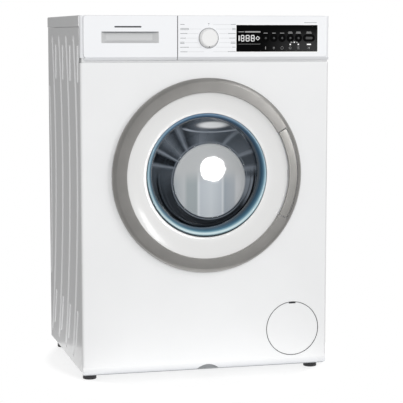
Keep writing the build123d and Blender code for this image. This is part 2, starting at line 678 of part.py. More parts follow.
def motor_pulley():
    rotor = rod_y(MOTOR_X, MOTOR_Z, 142, PULLEY_Y1 + 2, 6)
    return rotor + rod_y(MOTOR_X, MOTOR_Z, PULLEY_Y0, PULLEY_Y1, MOTOR_PULLEY_RADIUS)


def belt_loop(clearance):
    """A flat loop round both pulleys, clear of them by the given distance."""
    large = Pos(0, AXIS_Z) * Circle(PULLEY_RADIUS + clearance)
    small = Pos(MOTOR_X, MOTOR_Z) * Circle(MOTOR_PULLEY_RADIUS + clearance)
    return make_hull(large.edges() + small.edges())


def drive_belt():
    return along_y(belt_loop(3.3) - belt_loop(0.3), PULLEY_Y0 + 2, PULLEY_Y1 - 2)


def heater():
    """A U-shaped element low in the tub and its flange in the rear wall."""
    z = 232
    element = rod_y(-26, z, -90, 161, 4) + rod_y(26, z, -90, 161, 4)
    bend = Torus(26, 4) & box(-40, 40, -40, 0, -10, 10)
    element += Pos(0, -90, z) * bend
    element += box(-32, 32, 160.2, 166, 224.5, 243.5)
    return element + rod_y(-26, z, 166, 180, 3) + rod_y(26, z, 166, 180, 3)


def damper_rods():
    return Compound(children=[rod_z(side * DAMPER_X, DAMPER_Y, 100, 271.8, 5) for side in (-1, 1)])


def suspension_springs():
    """Close-wound springs as closed sleeves, one on each side."""
    springs = []
    for side in (-1, 1):
        coil = rod_z(side * SPRING_X, SPRING_Y, 600.3, 791.7, 11)
        springs.append(coil - rod_z(side * SPRING_X, SPRING_Y, 604, 788, 7.5))
    return Compound(children=springs)


def tub_hoses():
    """The drain hose from tub to pump and the filling hose from drawer to tub."""
    drain = rod_z(SUMP_X, SUMP_Y, 152, 330, 21) - rod_z(SUMP_X, SUMP_Y, 151, 172, 18.2)
    fill = rod_z(-180, -70, 640, 753.6, 17)
    tub = rod_y(0, AXIS_Z, -250, 250, TUB_RADIUS + 0.3)
    return Compound(children=[drain - tub, fill - tub])



# Drum


def drum_shell():
    outer = DRUM_RADIUS
    y0, y1 = DRUM_FRONT, DRUM_REAR
    return turned([
        (150, y0 - 6), (151.2, y0 - 6), (154, y0), (outer - 6, y0), (outer, y0 + 6), (outer, y1),
        (0, y1), (0, y1 - 1), (outer - 1, y1 - 1), (outer - 1, y0 + 6.4), (outer - 6.4, y0 + 1),
        (153.4, y0 + 1), (150, y0 - 5)])


def drum_lifters():
    """Three hollow-looking vanes that lift the laundry."""
    flank = [(-40, -240), (-36, -226), (-20, -205), (-9, -186)]
    outline = flank + [(0, -182)] + [(-x, z) for x, z in reversed(flank)]
    vane = make_face(Polyline(*outline, close=True)) & Circle(DRUM_RADIUS - 1.1)
    vanes = []
    for index in range(3):
        turned_vane = Pos(0, AXIS_Z) * Rot(0, 0, index * 120) * vane
        vanes.append(along_y(turned_vane, DRUM_FRONT + 12, DRUM_REAR - 14))
    return Compound(children=vanes)


def drum_spider():
    """The cast spider behind the drum and the shaft that it is cast onto."""
    y0 = DRUM_REAR + 0.2
    hub = rod_y(0, AXIS_Z, y0, y0 + 16, 36)
    arm = Pos(0, 112) * Rectangle(40, 224)
    for index in range(3):
        hub += along_y(Pos(0, AXIS_Z) * Rot(0, 0, 60 + index * 120) * arm, y0, y0 + 11)
    shaft = rod_y(0, AXIS_Z, y0 + 16, 173, SHAFT_FRONT_RADIUS)
    shaft += rod_y(0, AXIS_Z, 173, 198, SHAFT_REAR_RADIUS)
    shaft += rod_y(0, AXIS_Z, 198, 217, 9.98)
    return hub + shaft


def drum_pulley():
    pulley = turned([
        (10, PULLEY_Y0 - 0.5), (24, PULLEY_Y0 - 0.5), (24, 204), (131, 204), (131, PULLEY_Y0),
        (PULLEY_RADIUS, PULLEY_Y0), (PULLEY_RADIUS, PULLEY_Y1), (131, PULLEY_Y1), (131, 208),
        (24, 208), (24, PULLEY_Y1), (10, PULLEY_Y1)])
    window = sector(40, 118, -22, 22)
    for index in range(5):
        turned_window = Pos(0, AXIS_Z) * Rot(0, 0, index * 72) * Pos(0, -AXIS_Z) * window
        pulley -= along_y(turned_window, 198, 215)
    return pulley


# Pump


def pump_body():
    """The access funnel, filter tube, pump chamber and pump motor in one moulding."""
    body = turned(behind_front([
        (63.9, 1.2), (70, 1.2), (70, 3.5), (66, 3.5), (66, 32), (36, 32), (36, 136), (27, 136), (27, 180),
        (0, 180), (0, 139), (24, 139), (24, 112), (33, 112), (33, 30), (63.9, 30)]), PUMP_X, PUMP_Z)
    spigot = rod_z(SUMP_X, SUMP_Y, PUMP_Z + 25, 170, 18)
    spigot -= rod_y(PUMP_X, PUMP_Z, SUMP_Y - 40, SUMP_Y + 40, 35.5)
    body += spigot
    body -= rod_z(SUMP_X, SUMP_Y, PUMP_Z + 10, 171, 15)
    return body


def pump_filter():
    plug = rod_y(PUMP_X, PUMP_Z, FRONT + 25, FRONT + 60, FILTER_RADIUS)
    plug += along_y(Pos(PUMP_X, PUMP_Z) * SlotOverall(56, 13), FRONT + 12, FRONT + 25)
    strainer = rod_y(PUMP_X, PUMP_Z, FRONT + 60, FRONT + 104, 28) - rod_y(
        PUMP_X, PUMP_Z, FRONT + 61, FRONT + 105, 24)
    for angle in range(0, 180, 30):
        slit = Pos(PUMP_X, PUMP_Z) * Rot(0, 0, angle) * Rectangle(60, 8)
        strainer -= along_y(slit, FRONT + 66, FRONT + 98)
    return plug + strainer


def pump_impeller():
    wheel = rod_y(PUMP_X, PUMP_Z, FRONT + 131, FRONT + 134, 20)
    for angle in (0, 60, 120):
        vane = Pos(PUMP_X, PUMP_Z) * Rot(0, 0, angle) * Rectangle(39, 2.4)
        wheel += along_y(vane, FRONT + 117, FRONT + 131)
    return wheel + rod_y(PUMP_X, PUMP_Z, FRONT + 113, FRONT + 138, 3)


def pump_cover():
    cover = rod_y(PUMP_X, PUMP_Z, FRONT, FRONT + 2.5, PUMP_COVER_RADIUS)
    cover -= box(PUMP_X - 9, PUMP_X + 8, FRONT - 1, FRONT + 3, PUMP_Z + PUMP_COVER_RADIUS - 3.2,
                 PUMP_Z + PUMP_COVER_RADIUS + 1)
    return cover


# Feet


def foot(x, y):
    """A moulded foot: pad, hexagon and stud in one piece."""
    pad = Pos(x, y, 0) * extrude(Circle(FOOT_RADIUS), amount=9)
    pad = fillet(pad.edges().group_by(Axis.Z)[0], 1.5)
    pad += Pos(x, y, 9) * extrude(RegularPolygon(13, 6), amount=12.4)
    return pad + rod_z(x, y, 21.4, 56, STUD_RADIUS)


def feet():
    for side, side_name in ((-1, "left"), (1, "right")):
        for y, end_name in zip(FOOT_YS, ("front", "rear")):
            pieces[f"foot_{end_name}_{side_name}"] = foot(side * FOOT_X, y)


left_panel = side_panel()
pieces["left_side_panel"] = left_panel
pieces["right_side_panel"] = mirror(left_panel, Plane.YZ)
for build in (
        front_panel, rear_panel, rear_service_cover, worktop, base_frame, damper_cylinders, cross_braces,
        cabinet_screws, transit_hole_plugs, inlet_valve, drain_outlet, mains_gland, fascia, display_window,
        control_board, program_knob, drawer_front, drawer_tray, drawer_housing, door_outer_ring, door_handle,
        door_funnel, door_glass_bowl, door_back_frame, door_hinge_arm, door_hinge_bracket, door_latch_hook,
        door_lock, door_gasket, tub_front_half, tub_rear_half, counterweights, drum_bearings, motor_body,
        motor_pulley, drive_belt, heater, damper_rods, suspension_springs, tub_hoses, drum_shell,
        drum_lifters, drum_spider, drum_pulley, pump_body, pump_filter, pump_impeller, pump_cover):
    pieces[build.__name__] = build()
buttons()
feet()

os.makedirs("parts", exist_ok=True)
for name, piece in pieces.items():
    export_step(piece, f"parts/{name}.step")
print(len(pieces), "pieces")
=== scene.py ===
"""Looks of the front load washing machine, in metres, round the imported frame.

The machine stands on the floor at the origin. X is its right, Y its back and Z up.
Detailed pieces of the door, drum, controls and soft parts replace plain frame nodes, and every
other node keeps its shape and gets a material of its own.
"""

import json
import math

import bpy
import numpy as np
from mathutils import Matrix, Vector


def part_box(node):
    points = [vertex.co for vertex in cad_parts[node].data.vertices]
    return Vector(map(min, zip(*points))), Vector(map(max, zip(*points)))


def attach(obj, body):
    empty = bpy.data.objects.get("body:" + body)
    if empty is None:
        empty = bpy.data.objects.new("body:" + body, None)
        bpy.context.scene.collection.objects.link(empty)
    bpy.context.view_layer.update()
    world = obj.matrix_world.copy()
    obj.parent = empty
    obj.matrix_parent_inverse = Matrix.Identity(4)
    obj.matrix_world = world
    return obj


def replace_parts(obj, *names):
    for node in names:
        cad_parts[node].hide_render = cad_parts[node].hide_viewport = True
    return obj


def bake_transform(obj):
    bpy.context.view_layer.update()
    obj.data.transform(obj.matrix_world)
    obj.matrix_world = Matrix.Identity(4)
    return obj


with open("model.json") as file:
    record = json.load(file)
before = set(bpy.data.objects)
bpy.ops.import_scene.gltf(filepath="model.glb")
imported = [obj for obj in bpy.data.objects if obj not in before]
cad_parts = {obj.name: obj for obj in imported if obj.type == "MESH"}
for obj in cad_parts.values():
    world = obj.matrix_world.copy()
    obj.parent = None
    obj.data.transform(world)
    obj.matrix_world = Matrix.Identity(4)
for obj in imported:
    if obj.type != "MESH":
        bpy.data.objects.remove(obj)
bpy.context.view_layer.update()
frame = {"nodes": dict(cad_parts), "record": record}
NODES = frame["nodes"]

# Places taken from the frame
PANEL_LOW, PANEL_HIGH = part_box("front_panel")
FRONT = PANEL_LOW.y
DOOR_LOW, DOOR_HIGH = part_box("door_outer_ring")
AXIS_Z = (DOOR_LOW.z + DOOR_HIGH.z) / 2
DRUM_LOW, DRUM_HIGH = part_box("drum_shell")
DRUM_RADIUS = (DRUM_HIGH.z - DRUM_LOW.z) / 2
KNOB_LOW, KNOB_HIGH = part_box("program_knob")
KNOB_X, KNOB_Z = (KNOB_LOW.x + KNOB_HIGH.x) / 2, (KNOB_LOW.z + KNOB_HIGH.z) / 2
SCREEN_LOW, SCREEN_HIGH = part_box("display_window")
FASCIA_LOW, FASCIA_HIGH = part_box("fascia")
DRAWER_LOW, DRAWER_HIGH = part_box("drawer_front")

# Angles of the handle's two ends, in degrees
HANDLE_ANGLES = (-28.6, 30.0)
# How far the bottom of the glass leans right and down, and where the round lamp stands
BOWL_SHIFT = (0.0223, -0.0184)
SPOT_PLACE = (0.9538, -3.60, 0.1625)
# Nearest and farthest height from the door's axis that a hinge knuckle takes up
KNUCKLE = (0.0265, 0.0495)

MM = 0.001
NEAR_AXIS = 0.00001


# Mesh building


def piece(name, verts, faces, finish, body, slot=None, smooth=True):
    """A mesh object from points and faces, with its material, riding on a body."""
    mesh = bpy.data.meshes.new(name)
    mesh.from_pydata([tuple(v) for v in verts], [], faces)
    mesh.validate()
    if smooth:
        mesh.shade_smooth()
    obj = bpy.data.objects.new(name, mesh)
    bpy.context.scene.collection.objects.link(obj)
    obj.data.materials.append(finish)
    if body:
        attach(obj, body)
    return obj


def crisp(name, shell, finish, body, slot):
    """A piece whose faces all stay flat, from its points and faces as a pair."""
    return piece(name, *shell, finish, body, slot, smooth=False)


def soften(obj, angle):
    """Keeps edges sharper than an angle crisp and the rest smooth."""
    obj.data.set_sharp_from_angle(angle=math.radians(angle))
    return obj


def turned(profile, x=0.0, z=None, start=0.0, end=360.0, steps=180):
    """Points and faces of a closed (radius, y) profile turned round a line along Y."""
    z = AXIS_Z if z is None else z
    whole = end - start >= 360
    count = steps if whole else steps + 1
    verts, faces = [], []
    for i in range(count):
        angle = math.radians(start + (end - start) * i / steps)
        for radius, y in profile:
            verts.append((x + radius * math.cos(angle), y, z + radius * math.sin(angle)))
    n = len(profile)
    for i in range(steps):
        a, b = i * n, ((i + 1) % count) * n
        for j in range(n):
            k = (j + 1) % n
            faces.append((a + j, b + j, b + k, a + k))
    if not whole:
        faces.append(tuple(range(n)))
        faces.append(tuple(reversed(range((count - 1) * n, count * n))))
    return verts, faces


def together(*shells):
    """Several (points, faces) pairs as one."""
    verts, faces = [], []
    for shell_verts, shell_faces in shells:
        shift = len(verts)
        verts += list(shell_verts)
        faces += [tuple(i + shift for i in face) for face in shell_faces]
    return verts, faces


def rounded(points, radius, steps=5):
    """A closed outline with its corners rounded; radius is one value or one per corner."""
    out = []
    n = len(points)
    radii = [radius] * n if isinstance(radius, (int, float)) else list(radius)
    for i, point in enumerate(points):
        p = Vector(point)
        to_last = Vector(points[i - 1]) - p
        to_next = Vector(points[(i + 1) % n]) - p
        half = to_last.angle(to_next) / 2
        reach = radii[i] / math.tan(half) if radii[i] else 0.0
        reach = min(reach, to_last.length * 0.49, to_next.length * 0.49)
        if reach < 1e-7:
            out.append(tuple(p))
            continue
        first, last = p + to_last.normalized() * reach, p + to_next.normalized() * reach
        for k in range(steps + 1):
            t = k / steps
            out.append(tuple(first * (1 - t) ** 2 + p * 2 * t * (1 - t) + last * t ** 2))
    return out


def rectangle(x0, x1, z0, z1, radius=0.0, steps=6):
    corners = [(x0, z0), (x1, z0), (x1, z1), (x0, z1)]
    return rounded(corners, radius, steps) if radius else corners


def band(a, b, n):
    """The faces between two closed loops of n points, which start at points a and b."""
    return [(a + j, a + (j + 1) % n, b + (j + 1) % n, b + j) for j in range(n)]


def plate(outline, y0, y1, edge=0.0):
    """Points and faces of an (x, z) outline between y0 at the front and y1, with a bevelled front edge."""
    flat = [Vector(p) for p in outline]
    n = len(flat)
    middle = sum(flat, Vector((0, 0))) / n
    rings = [(y1, 0.0), (y0 + edge, 0.0)]
    if edge:
        rings += [(y0 + edge * 0.3, edge * 0.3), (y0, edge)]
    verts, faces = [], []
    for y, inset in rings:
        for i, p in enumerate(flat):
            along = (flat[(i + 1) % n] - flat[i - 1]).normalized()
            inward = Vector((-along.y, along.x))
            if inward.dot(middle - p) < 0:
                inward = -inward
            q = p + inward * inset
            verts.append((q.x, y, q.y))
    for ring in range(len(rings) - 1):
        faces += band(ring * n, (ring + 1) * n, n)
    faces.append(tuple(reversed(range(n))))
    faces.append(tuple(range((len(rings) - 1) * n, len(rings) * n)))
    return verts, faces


def smooth_step(value):
    t = min(1.0, max(0.0, value))
    return t * t * (3 - 2 * t)


def deep(points):
    """(radius, depth) points in millimetres behind the front panel, as (radius, y) in metres."""
    return [(radius * MM, FRONT + depth * MM) for radius, depth in points]


def through(first, middle, last, steps):
    """Points of the arc through three points."""
    (ax, ay), (bx, by), (cx, cy) = first, middle, last
    d = 2 * (ax * (by - cy) + bx * (cy - ay) + cx * (ay - by))
    a2, b2, c2 = ax * ax + ay * ay, bx * bx + by * by, cx * cx + cy * cy
    ox = (a2 * (by - cy) + b2 * (cy - ay) + c2 * (ay - by)) / d
    oy = (a2 * (cx - bx) + b2 * (ax - cx) + c2 * (bx - ax)) / d
    radius = math.hypot(ax - ox, ay - oy)
    start = math.atan2(ay - oy, ax - ox)
    sweep = (math.atan2(cy - oy, cx - ox) - start + math.pi) % (2 * math.pi) - math.pi
    angles = [start + sweep * k / steps for k in range(steps + 1)]
    return [(ox + radius * math.cos(t), oy + radius * math.sin(t)) for t in angles]


# Materials


class Term:
    """A node's output, which arithmetic joins to other outputs and to numbers."""

    def __init__(self, graph, socket):
        self.graph, self.socket = graph, socket

    def __add__(self, other):
        return self.graph.math("ADD", self, other)

    def __sub__(self, other):
        return self.graph.math("SUBTRACT", self, other)

    def __rsub__(self, other):
        return self.graph.math("SUBTRACT", other, self)

    def __mul__(self, other):
        return self.graph.math("MULTIPLY", self, other)

    def __truediv__(self, other):
        return self.graph.math("DIVIDE", self, other)


class Graph:
    """The node tree of a material or of the world."""

    def __init__(self, owner):
        owner.use_nodes = True
        self.nodes, self.links = owner.node_tree.nodes, owner.node_tree.links

    def put(self, socket, value):
        if isinstance(value, Term):
            self.links.new(value.socket, socket)
        else:
            socket.default_value = value

    def add(self, kind, inputs, output=0, **settings):
        """One output of a new node with these settings and inputs."""
        node = self.nodes.new("ShaderNode" + kind)
        for name, value in settings.items():
            setattr(node, name, value)
        for name, value in inputs.items():
            self.put(node.inputs[name], value)
        return Term(self, node.outputs[output])

    def shade(self, sockets):
        """Sets or joins sockets of the physical shader."""
        for name, value in sockets.items():
            self.put(self.nodes["Principled BSDF"].inputs[name], value)

    def axes(self, coordinates="Object"):
        """The X, Y and Z of a point."""
        place = self.add("TexCoord", {}, coordinates)
        split = self.add("SeparateXYZ", {"Vector": place}).socket.node
        return [Term(self, part) for part in split.outputs]

    def math(self, operation, *values):
        return self.add("Math", dict(enumerate(values)), operation=operation)

    def distance(self, a, b):
        return self.math("SQRT", a * a + b * b)

    def largest(self, first, *others):
        for other in others:
            first = self.math("MAXIMUM", first, other)
        return first

    def line(self, value, low, high, first=0.0, last=1.0, shape="LINEAR"):
        """A value carried from the range low to high to the range first to last."""
        inputs = {"Value": value, "From Min": low, "From Max": high, "To Min": first, "To Max": last}
        return self.add("MapRange", inputs, "Result", interpolation_type=shape)

    def step(self, value, low, high):
        """A soft rise from 0 at low to 1 at high."""
        return self.line(value, low, high, shape="SMOOTHSTEP")

    def ramp(self, value, stops):
        """The tone at a value, from stops that are each a place and a grey or a colour."""
        made = self.add("ValToRGB", {"Fac": value}, "Color")
        elements = made.socket.node.color_ramp.elements
        elements[0].position, elements[1].position = stops[0][0], stops[-1][0]
        for place, _ in stops[1:-1]:
            elements.new(place)
        for element, (_, tone) in zip(elements, stops):
            element.color = (tone, tone, tone, 1) if isinstance(tone, (int, float)) else (*tone, 1)
        return made

    def mix(self, share, first, second, blend="MIX"):
        """A colour between two, or their product."""
        inputs = {"Factor": share, "A": first, "B": second}
        return self.add("Mix", inputs, "Result", data_type="RGBA", blend_type=blend)


def material(name, colour, roughness, metallic=0.0, shade=0.03, shade_scale=9.0, grain=0.05,
             grain_scale=700.0, bump=0.1, bump_scale=None, bump_depth=0.0001, stretch=(1, 1, 1),
             sockets=None):
    """A physical material whose colour, roughness and relief vary with noise at the given scales."""
    made = bpy.data.materials.new(name)
    graph = Graph(made)
    place = graph.add("TexCoord", {}, "Object")
    spread = graph.add("Mapping", {"Vector": place, "Scale": stretch})
    broad = graph.add("TexNoise", {"Vector": place, "Scale": shade_scale, "Detail": 4}, "Fac")
    dark, light = [c * (1 - shade) for c in colour], [min(1.0, c * (1 + shade)) for c in colour]
    fine = graph.add("TexNoise", {"Vector": spread, "Scale": grain_scale, "Detail": 3}, "Fac")
    height = graph.add("TexNoise", {"Vector": spread, "Scale": bump_scale}, "Fac") if bump_scale else fine
    graph.shade({
        "Base Color": graph.ramp(broad, [(0.35, dark), (0.65, light)]),
        "Roughness": graph.line(fine, 0, 1, max(0.0, roughness - grain), min(1.0, roughness + grain)),
        "Normal": graph.add("Bump", {"Height": height, "Strength": bump, "Distance": bump_depth}),
        "Metallic": metallic,
        **(sockets or {}),
    })
    return made


GLOSS_COAT = {"Coat Weight": 0.5, "Coat Roughness": 0.08}

white_paint = material("white_enamel", (0.86, 0.865, 0.87), 0.34, shade=0.008, grain=0.03, grain_scale=420,
                       bump=0.06, bump_scale=520, sockets={"Coat Weight": 0.35, "Coat Roughness": 0.12})
white_panel = material("white_fascia_plastic", (0.90, 0.91, 0.93), 0.30, shade=0.006, grain_scale=900,
                       bump=0.05, sockets={"Coat Weight": 0.2, "Coat Roughness": 0.15})
worktop_finish = material("white_laminate", (0.87, 0.875, 0.88), 0.42, shade=0.01, grain=0.08,
                          grain_scale=1600, bump=0.2)
door_white = material("door_white_plastic", (0.80, 0.80, 0.795), 0.24, shade=0.005, grain=0.02,
                      grain_scale=800, bump=0.03, sockets=GLOSS_COAT)
SATIN = {"metallic": 0.85, "shade": 0.04, "shade_scale": 25, "grain": 0.06, "grain_scale": 2600,
         "bump": 0.12, "bump_depth": 0.00005}
ring_silver = material("satin_silver_lacquer", (0.41, 0.40, 0.385), 0.34, **SATIN)
handle_silver = material("handle_silver_lacquer", (0.46, 0.45, 0.43), 0.32, **SATIN)
black_gloss = material("black_gloss_panel", (0.0015, 0.0015, 0.0017), 0.22, shade=0.2, grain=0.02,
                       grain_scale=300, bump=0.02, sockets={"Specular IOR Level": 0.05})
# a dark grey that is a painted highlight on the black button domes
button_highlight_grey = material("button_dome_grey", (0.055, 0.055, 0.056), 0.5, shade=0.1, grain_scale=900, bump=0.1)
grey_plastic = material("grey_moulded_plastic", (0.30, 0.31, 0.32), 0.5, shade=0.05, grain_scale=500,
                        bump=0.25)
black_plastic = material("black_moulded_plastic", (0.018, 0.018, 0.02), 0.5, shade=0.15, grain_scale=600,
                         bump=0.3)
filter_plastic = material("filter_blue_grey_plastic", (0.32, 0.36, 0.40), 0.42, shade=0.04, grain_scale=600,
                          bump=0.2)
zinc = material("zinc_sheet", (0.55, 0.57, 0.59), 0.38, metallic=1.0, shade=0.14, shade_scale=55,
                grain=0.12, grain_scale=240, bump=0.08)
bright_steel = material("turned_steel", (0.62, 0.62, 0.62), 0.28, metallic=1.0, shade=0.05, grain_scale=900,
                        bump=0.2, stretch=(1, 12, 1))
drum_steel = material("drum_stainless", (0.58, 0.60, 0.63), 0.30, metallic=1.0, shade=0.05, shade_scale=12,
                      grain=0.08, grain_scale=500, bump=0.12, stretch=(1, 0.08, 1))
cast_metal = material("cast_aluminium", (0.50, 0.51, 0.52), 0.52, metallic=0.9, shade=0.08, shade_scale=40,
                      grain=0.12, grain_scale=600, bump=0.45)
concrete = material("cast_concrete", (0.36, 0.35, 0.33), 0.9, shade=0.22, shade_scale=60, grain_scale=340,
                    bump=0.9, bump_depth=0.0008)
rubber = material("grey_gasket_rubber", (0.20, 0.205, 0.21), 0.62, shade=0.06, grain_scale=700, bump=0.2)
belt_rubber = material("black_belt_rubber", (0.015, 0.015, 0.015), 0.7, shade=0.2, grain_scale=900,
                       bump=0.3)
board = material("circuit_board", (0.02, 0.13, 0.06), 0.4, shade=0.35, shade_scale=160, grain_scale=900)
knob_white = material("knob_white_plastic", (0.86, 0.86, 0.855), 0.4, shade=0.01, grain_scale=900,
                      bump=0.08)
# a brighter copy of the white plastic: painted highlight on the display's edge
bezel_highlight_white = material("bezel_white_plastic", (0.95, 0.95, 0.95), 0.35, shade=0.004, grain_scale=900,
                       bump=0.03)
# a greyer copy of the white plastic: painted shade in the grip's recess and in the line under the fascia
shade_grey_plastic = material("grip_white_plastic", (0.60, 0.605, 0.61), 0.45, shade=0.01, grain_scale=900,
                      bump=0.08)
# a greyer copy of the fascia's white: painted shade on its lower lips
lip_shaded_white = material("lip_white_plastic", (0.80, 0.81, 0.83), 0.4, shade=0.01, grain_scale=900, bump=0.08)
# print grey, also painted shade behind the arch, under the hem and on the grip's lip
print_and_shade_grey = material("print_and_shade_grey", (0.26, 0.27, 0.28), 0.55, shade=0.06, grain_scale=900)
print_pale = material("print_pale_grey", (0.50, 0.51, 0.52), 0.55, shade=0.06, grain_scale=900)
# dark print, also painted shade in the gap round the pump cover and in the drawer's seam
print_and_shade_dark = material("print_dark_grey", (0.035, 0.036, 0.04), 0.4, shade=0.1, grain_scale=900)
lamp_white = material("lamp_white", (0.8, 0.8, 0.8), 0.5, shade=0.02,
                      sockets={"Emission Color": (1, 1, 1, 1), "Emission Strength": 0.35})
lamp_grey = material("lamp_grey", (0.30, 0.30, 0.30), 0.5, shade=0.04,
                     sockets={"Emission Color": (1, 1, 1, 1), "Emission Strength": 0.05})


def painted_wall_reflections(graph, angle, radius):
    """Painted reflections: the streaks round the glass's wall and the rings near its bottom."""
    around = [(-180, 0.30), (-150, 0.12), (-90, 0.08), (-40, 0.12), (-26, 0.85), (-8, 0.95), (-2, 0.35),
              (5, 0.85), (9, 0.35), (19, 0.3), (22, 0.9), (26, 0.5), (46, 0.35), (50, 0.8), (55, 0.3),
              (90, 0.65), (114, 0.12), (121, 0.8), (126, 0.1), (138, 0.6), (149, 0.16), (152, 0.9),
              (156, 0.03), (165, 0.05), (168, 0.8), (172, 0.25), (180, 0.3)]
    stops = [(degrees / 360 + 0.5, tone) for degrees, tone in around]
    # painted streaks of reflection, set by the angle round the door
    streak = graph.ramp(angle * (1 / (2 * math.pi)) + 0.5, stops)
    # painted rings near the bottom of the glass
    lines = graph.ramp(radius * 5.0, [(0.0, 0.0), (0.449, 0.0), (0.456, 0.75), (0.464, 0.75), (0.470, 0.0),
                                      (0.555, 0.0), (0.560, 0.5), (0.566, 0.0), (0.60, 0.0), (0.606, 0.4),
                                      (0.612, 0.0), (1.0, 0.0)])
    return graph.largest(streak * 0.62, lines * 0.6)


def painted_highlight_ovals(graph, across, up):
    """The painted highlight near the top of the glass: a bright oval and a faint painted band under it."""
    # painted highlight: an oval mask and a fainter band below it
    aside, above = (across - 0.022) / 0.044, (up - 0.115) / 0.0105
    oval = aside * aside + above * above
    highlight_halo = graph.step(oval, 2.0, 2.6) * graph.step(oval, 3.9, 3.0) * graph.step(up, 0.113, 0.104) * 0.75
    return graph.step(oval, 1.25, 0.15) * 0.95, highlight_halo


def painted_seams_and_glints(graph, across, up, angle):
    """Painted dark seams seen through the lower half of the glass, and painted light dots between them that
    stand in for glints on the drum's holes.
    """
    outer = graph.distance(across - 0.011, up + 0.008)
    low_half = graph.step(up, 0.02, -0.03)
    seams = graph.ramp(outer * 5.0, [(0.0, 0.0), (0.550, 0.0), (0.560, 0.35), (0.572, 0.0), (0.588, 0.0),
                                     (0.597, 0.95), (0.608, 0.95), (0.615, 0.0), (0.630, 0.25), (0.645, 0.0),
                                     (1.0, 0.0)])
    rows = graph.ramp(outer * 5.0, [(0.0, 0.0), (0.565, 0.0), (0.573, 1.0), (0.581, 0.0), (0.620, 0.0),
                                    (0.627, 1.0), (0.634, 0.0), (1.0, 0.0)])
    # painted glints in two rows, low on the left
    painted_glints = graph.step(graph.math("SINE", angle * 88.0), 0.15, 0.75) * rows
    painted_glints *= graph.step(across, 0.02, -0.03)
    return seams * low_half, painted_glints * low_half * 0.55


def painted_drum_view(graph, across_bottom, up, bottom):
    """The bottom's milky columns, painted to stand in for the lit drum seen through it, which turn to plain
    painted haze higher up.
    """
    columns = graph.ramp(across_bottom * 5.0 + 0.5,
                         [(0.06, (0.46, 0.50, 0.53)), (0.19, (0.60, 0.63, 0.65)), (0.23, (0.44, 0.49, 0.51)),
                          (0.34, (0.44, 0.49, 0.51)), (0.365, (0.80, 0.84, 0.87)), (0.39, (0.62, 0.67, 0.72)),
                          (0.52, (0.70, 0.75, 0.79)), (0.64, (0.59, 0.64, 0.69)), (0.66, (0.76, 0.80, 0.83)),
                          (0.685, (0.42, 0.47, 0.52)), (0.80, (0.50, 0.54, 0.58)), (0.83, (0.68, 0.70, 0.72)),
                          (0.94, (0.62, 0.64, 0.66))])
    # painted haze higher up, painted columns low down
    painted_haze = graph.mix(graph.step(up, 0.012, -0.030), (0.60, 0.62, 0.63, 1), columns)
    return graph.mix(bottom, (0.46, 0.50, 0.56, 1), painted_haze)


def glass_with_painted_reflections():
    """Clear glass with painted reflections: faint streaks round its wall, a painted highlight oval near the
    top, painted dark lines and glints low down, and a milky, polished bottom whose painted columns stand in
    for the lit drum behind it.
    """
    made = bpy.data.materials.new("door_glass")
    graph = Graph(made)
    step, largest = graph.step, graph.largest
    across, y, z = graph.axes()
    up, depth = z - AXIS_Z, y - FRONT
    across_bottom, up_bottom = across - BOWL_SHIFT[0], up - BOWL_SHIFT[1]
    radius = graph.distance(across_bottom, up_bottom)
    angle = graph.math("ARCTAN2", up, across)
    deep_down = step(depth, 0.030, 0.036)
    bottom = step(radius, 0.0895, 0.0865) * deep_down
    oval, highlight_halo = painted_highlight_ovals(graph, across, up)
    seams, painted_glints = painted_seams_and_glints(graph, across, up, angle)
    # painted dark lines and glints, kept off the bottom
    dark = seams * (1.0 - bottom)
    streak = largest(painted_wall_reflections(graph, angle, radius), oval, highlight_halo)
    streak = largest(streak * (1.0 - dark), painted_glints * (1.0 - bottom))
    # painted view of the drum through the bottom
    painted_bottom_view = painted_drum_view(graph, across_bottom, up, bottom)
    tint = graph.mix(largest(bottom, streak), (0.25, 0.30, 0.36, 1), painted_bottom_view)
    lined = graph.mix(dark, tint, (0.012, 0.014, 0.018, 1))
    crease = step(radius, 0.0822, 0.0832) * step(radius, 0.0890, 0.0878) * deep_down
    graph.shade({
        # the painted highlight oval turns the colour near white
        "Base Color": graph.mix(oval, lined, (0.96, 0.97, 0.98, 1)),
        "Transmission Weight": 1.0 - largest(bottom * 0.80, streak),
        "Roughness": bottom * 0.02 + 0.01 + crease * 0.4,
        "IOR": 1.12,
        "Coat Weight": step(radius, 0.0835, 0.0815) * deep_down,
        "Coat Roughness": 0.02,
    })
    return made


def acrylic_painted_sheen():
    """The display window's acrylic, black at the left, with a painted sheen that makes it a warm dark grey
    low at the right.
    """
    made = material("acrylic_painted_sheen", (0.01, 0.01, 0.01), 0.2, grain=0.02, grain_scale=300, bump=0.02,
                    sockets={"Specular IOR Level": 0.05})
    graph = Graph(made)
    x, _, z = graph.axes()
    # painted sheen: greyer towards the right and towards the bottom
    share = graph.step(x, SCREEN_LOW.x + 0.05, SCREEN_HIGH.x - 0.01)
    share *= graph.step(z, SCREEN_HIGH.z, SCREEN_LOW.z + 0.012)
    sheen_tones = [(0, (0.0012, 0.0012, 0.0014)), (1, (0.040, 0.040, 0.041))]
    graph.shade({"Base Color": graph.ramp(share, sheen_tones)})
    return made


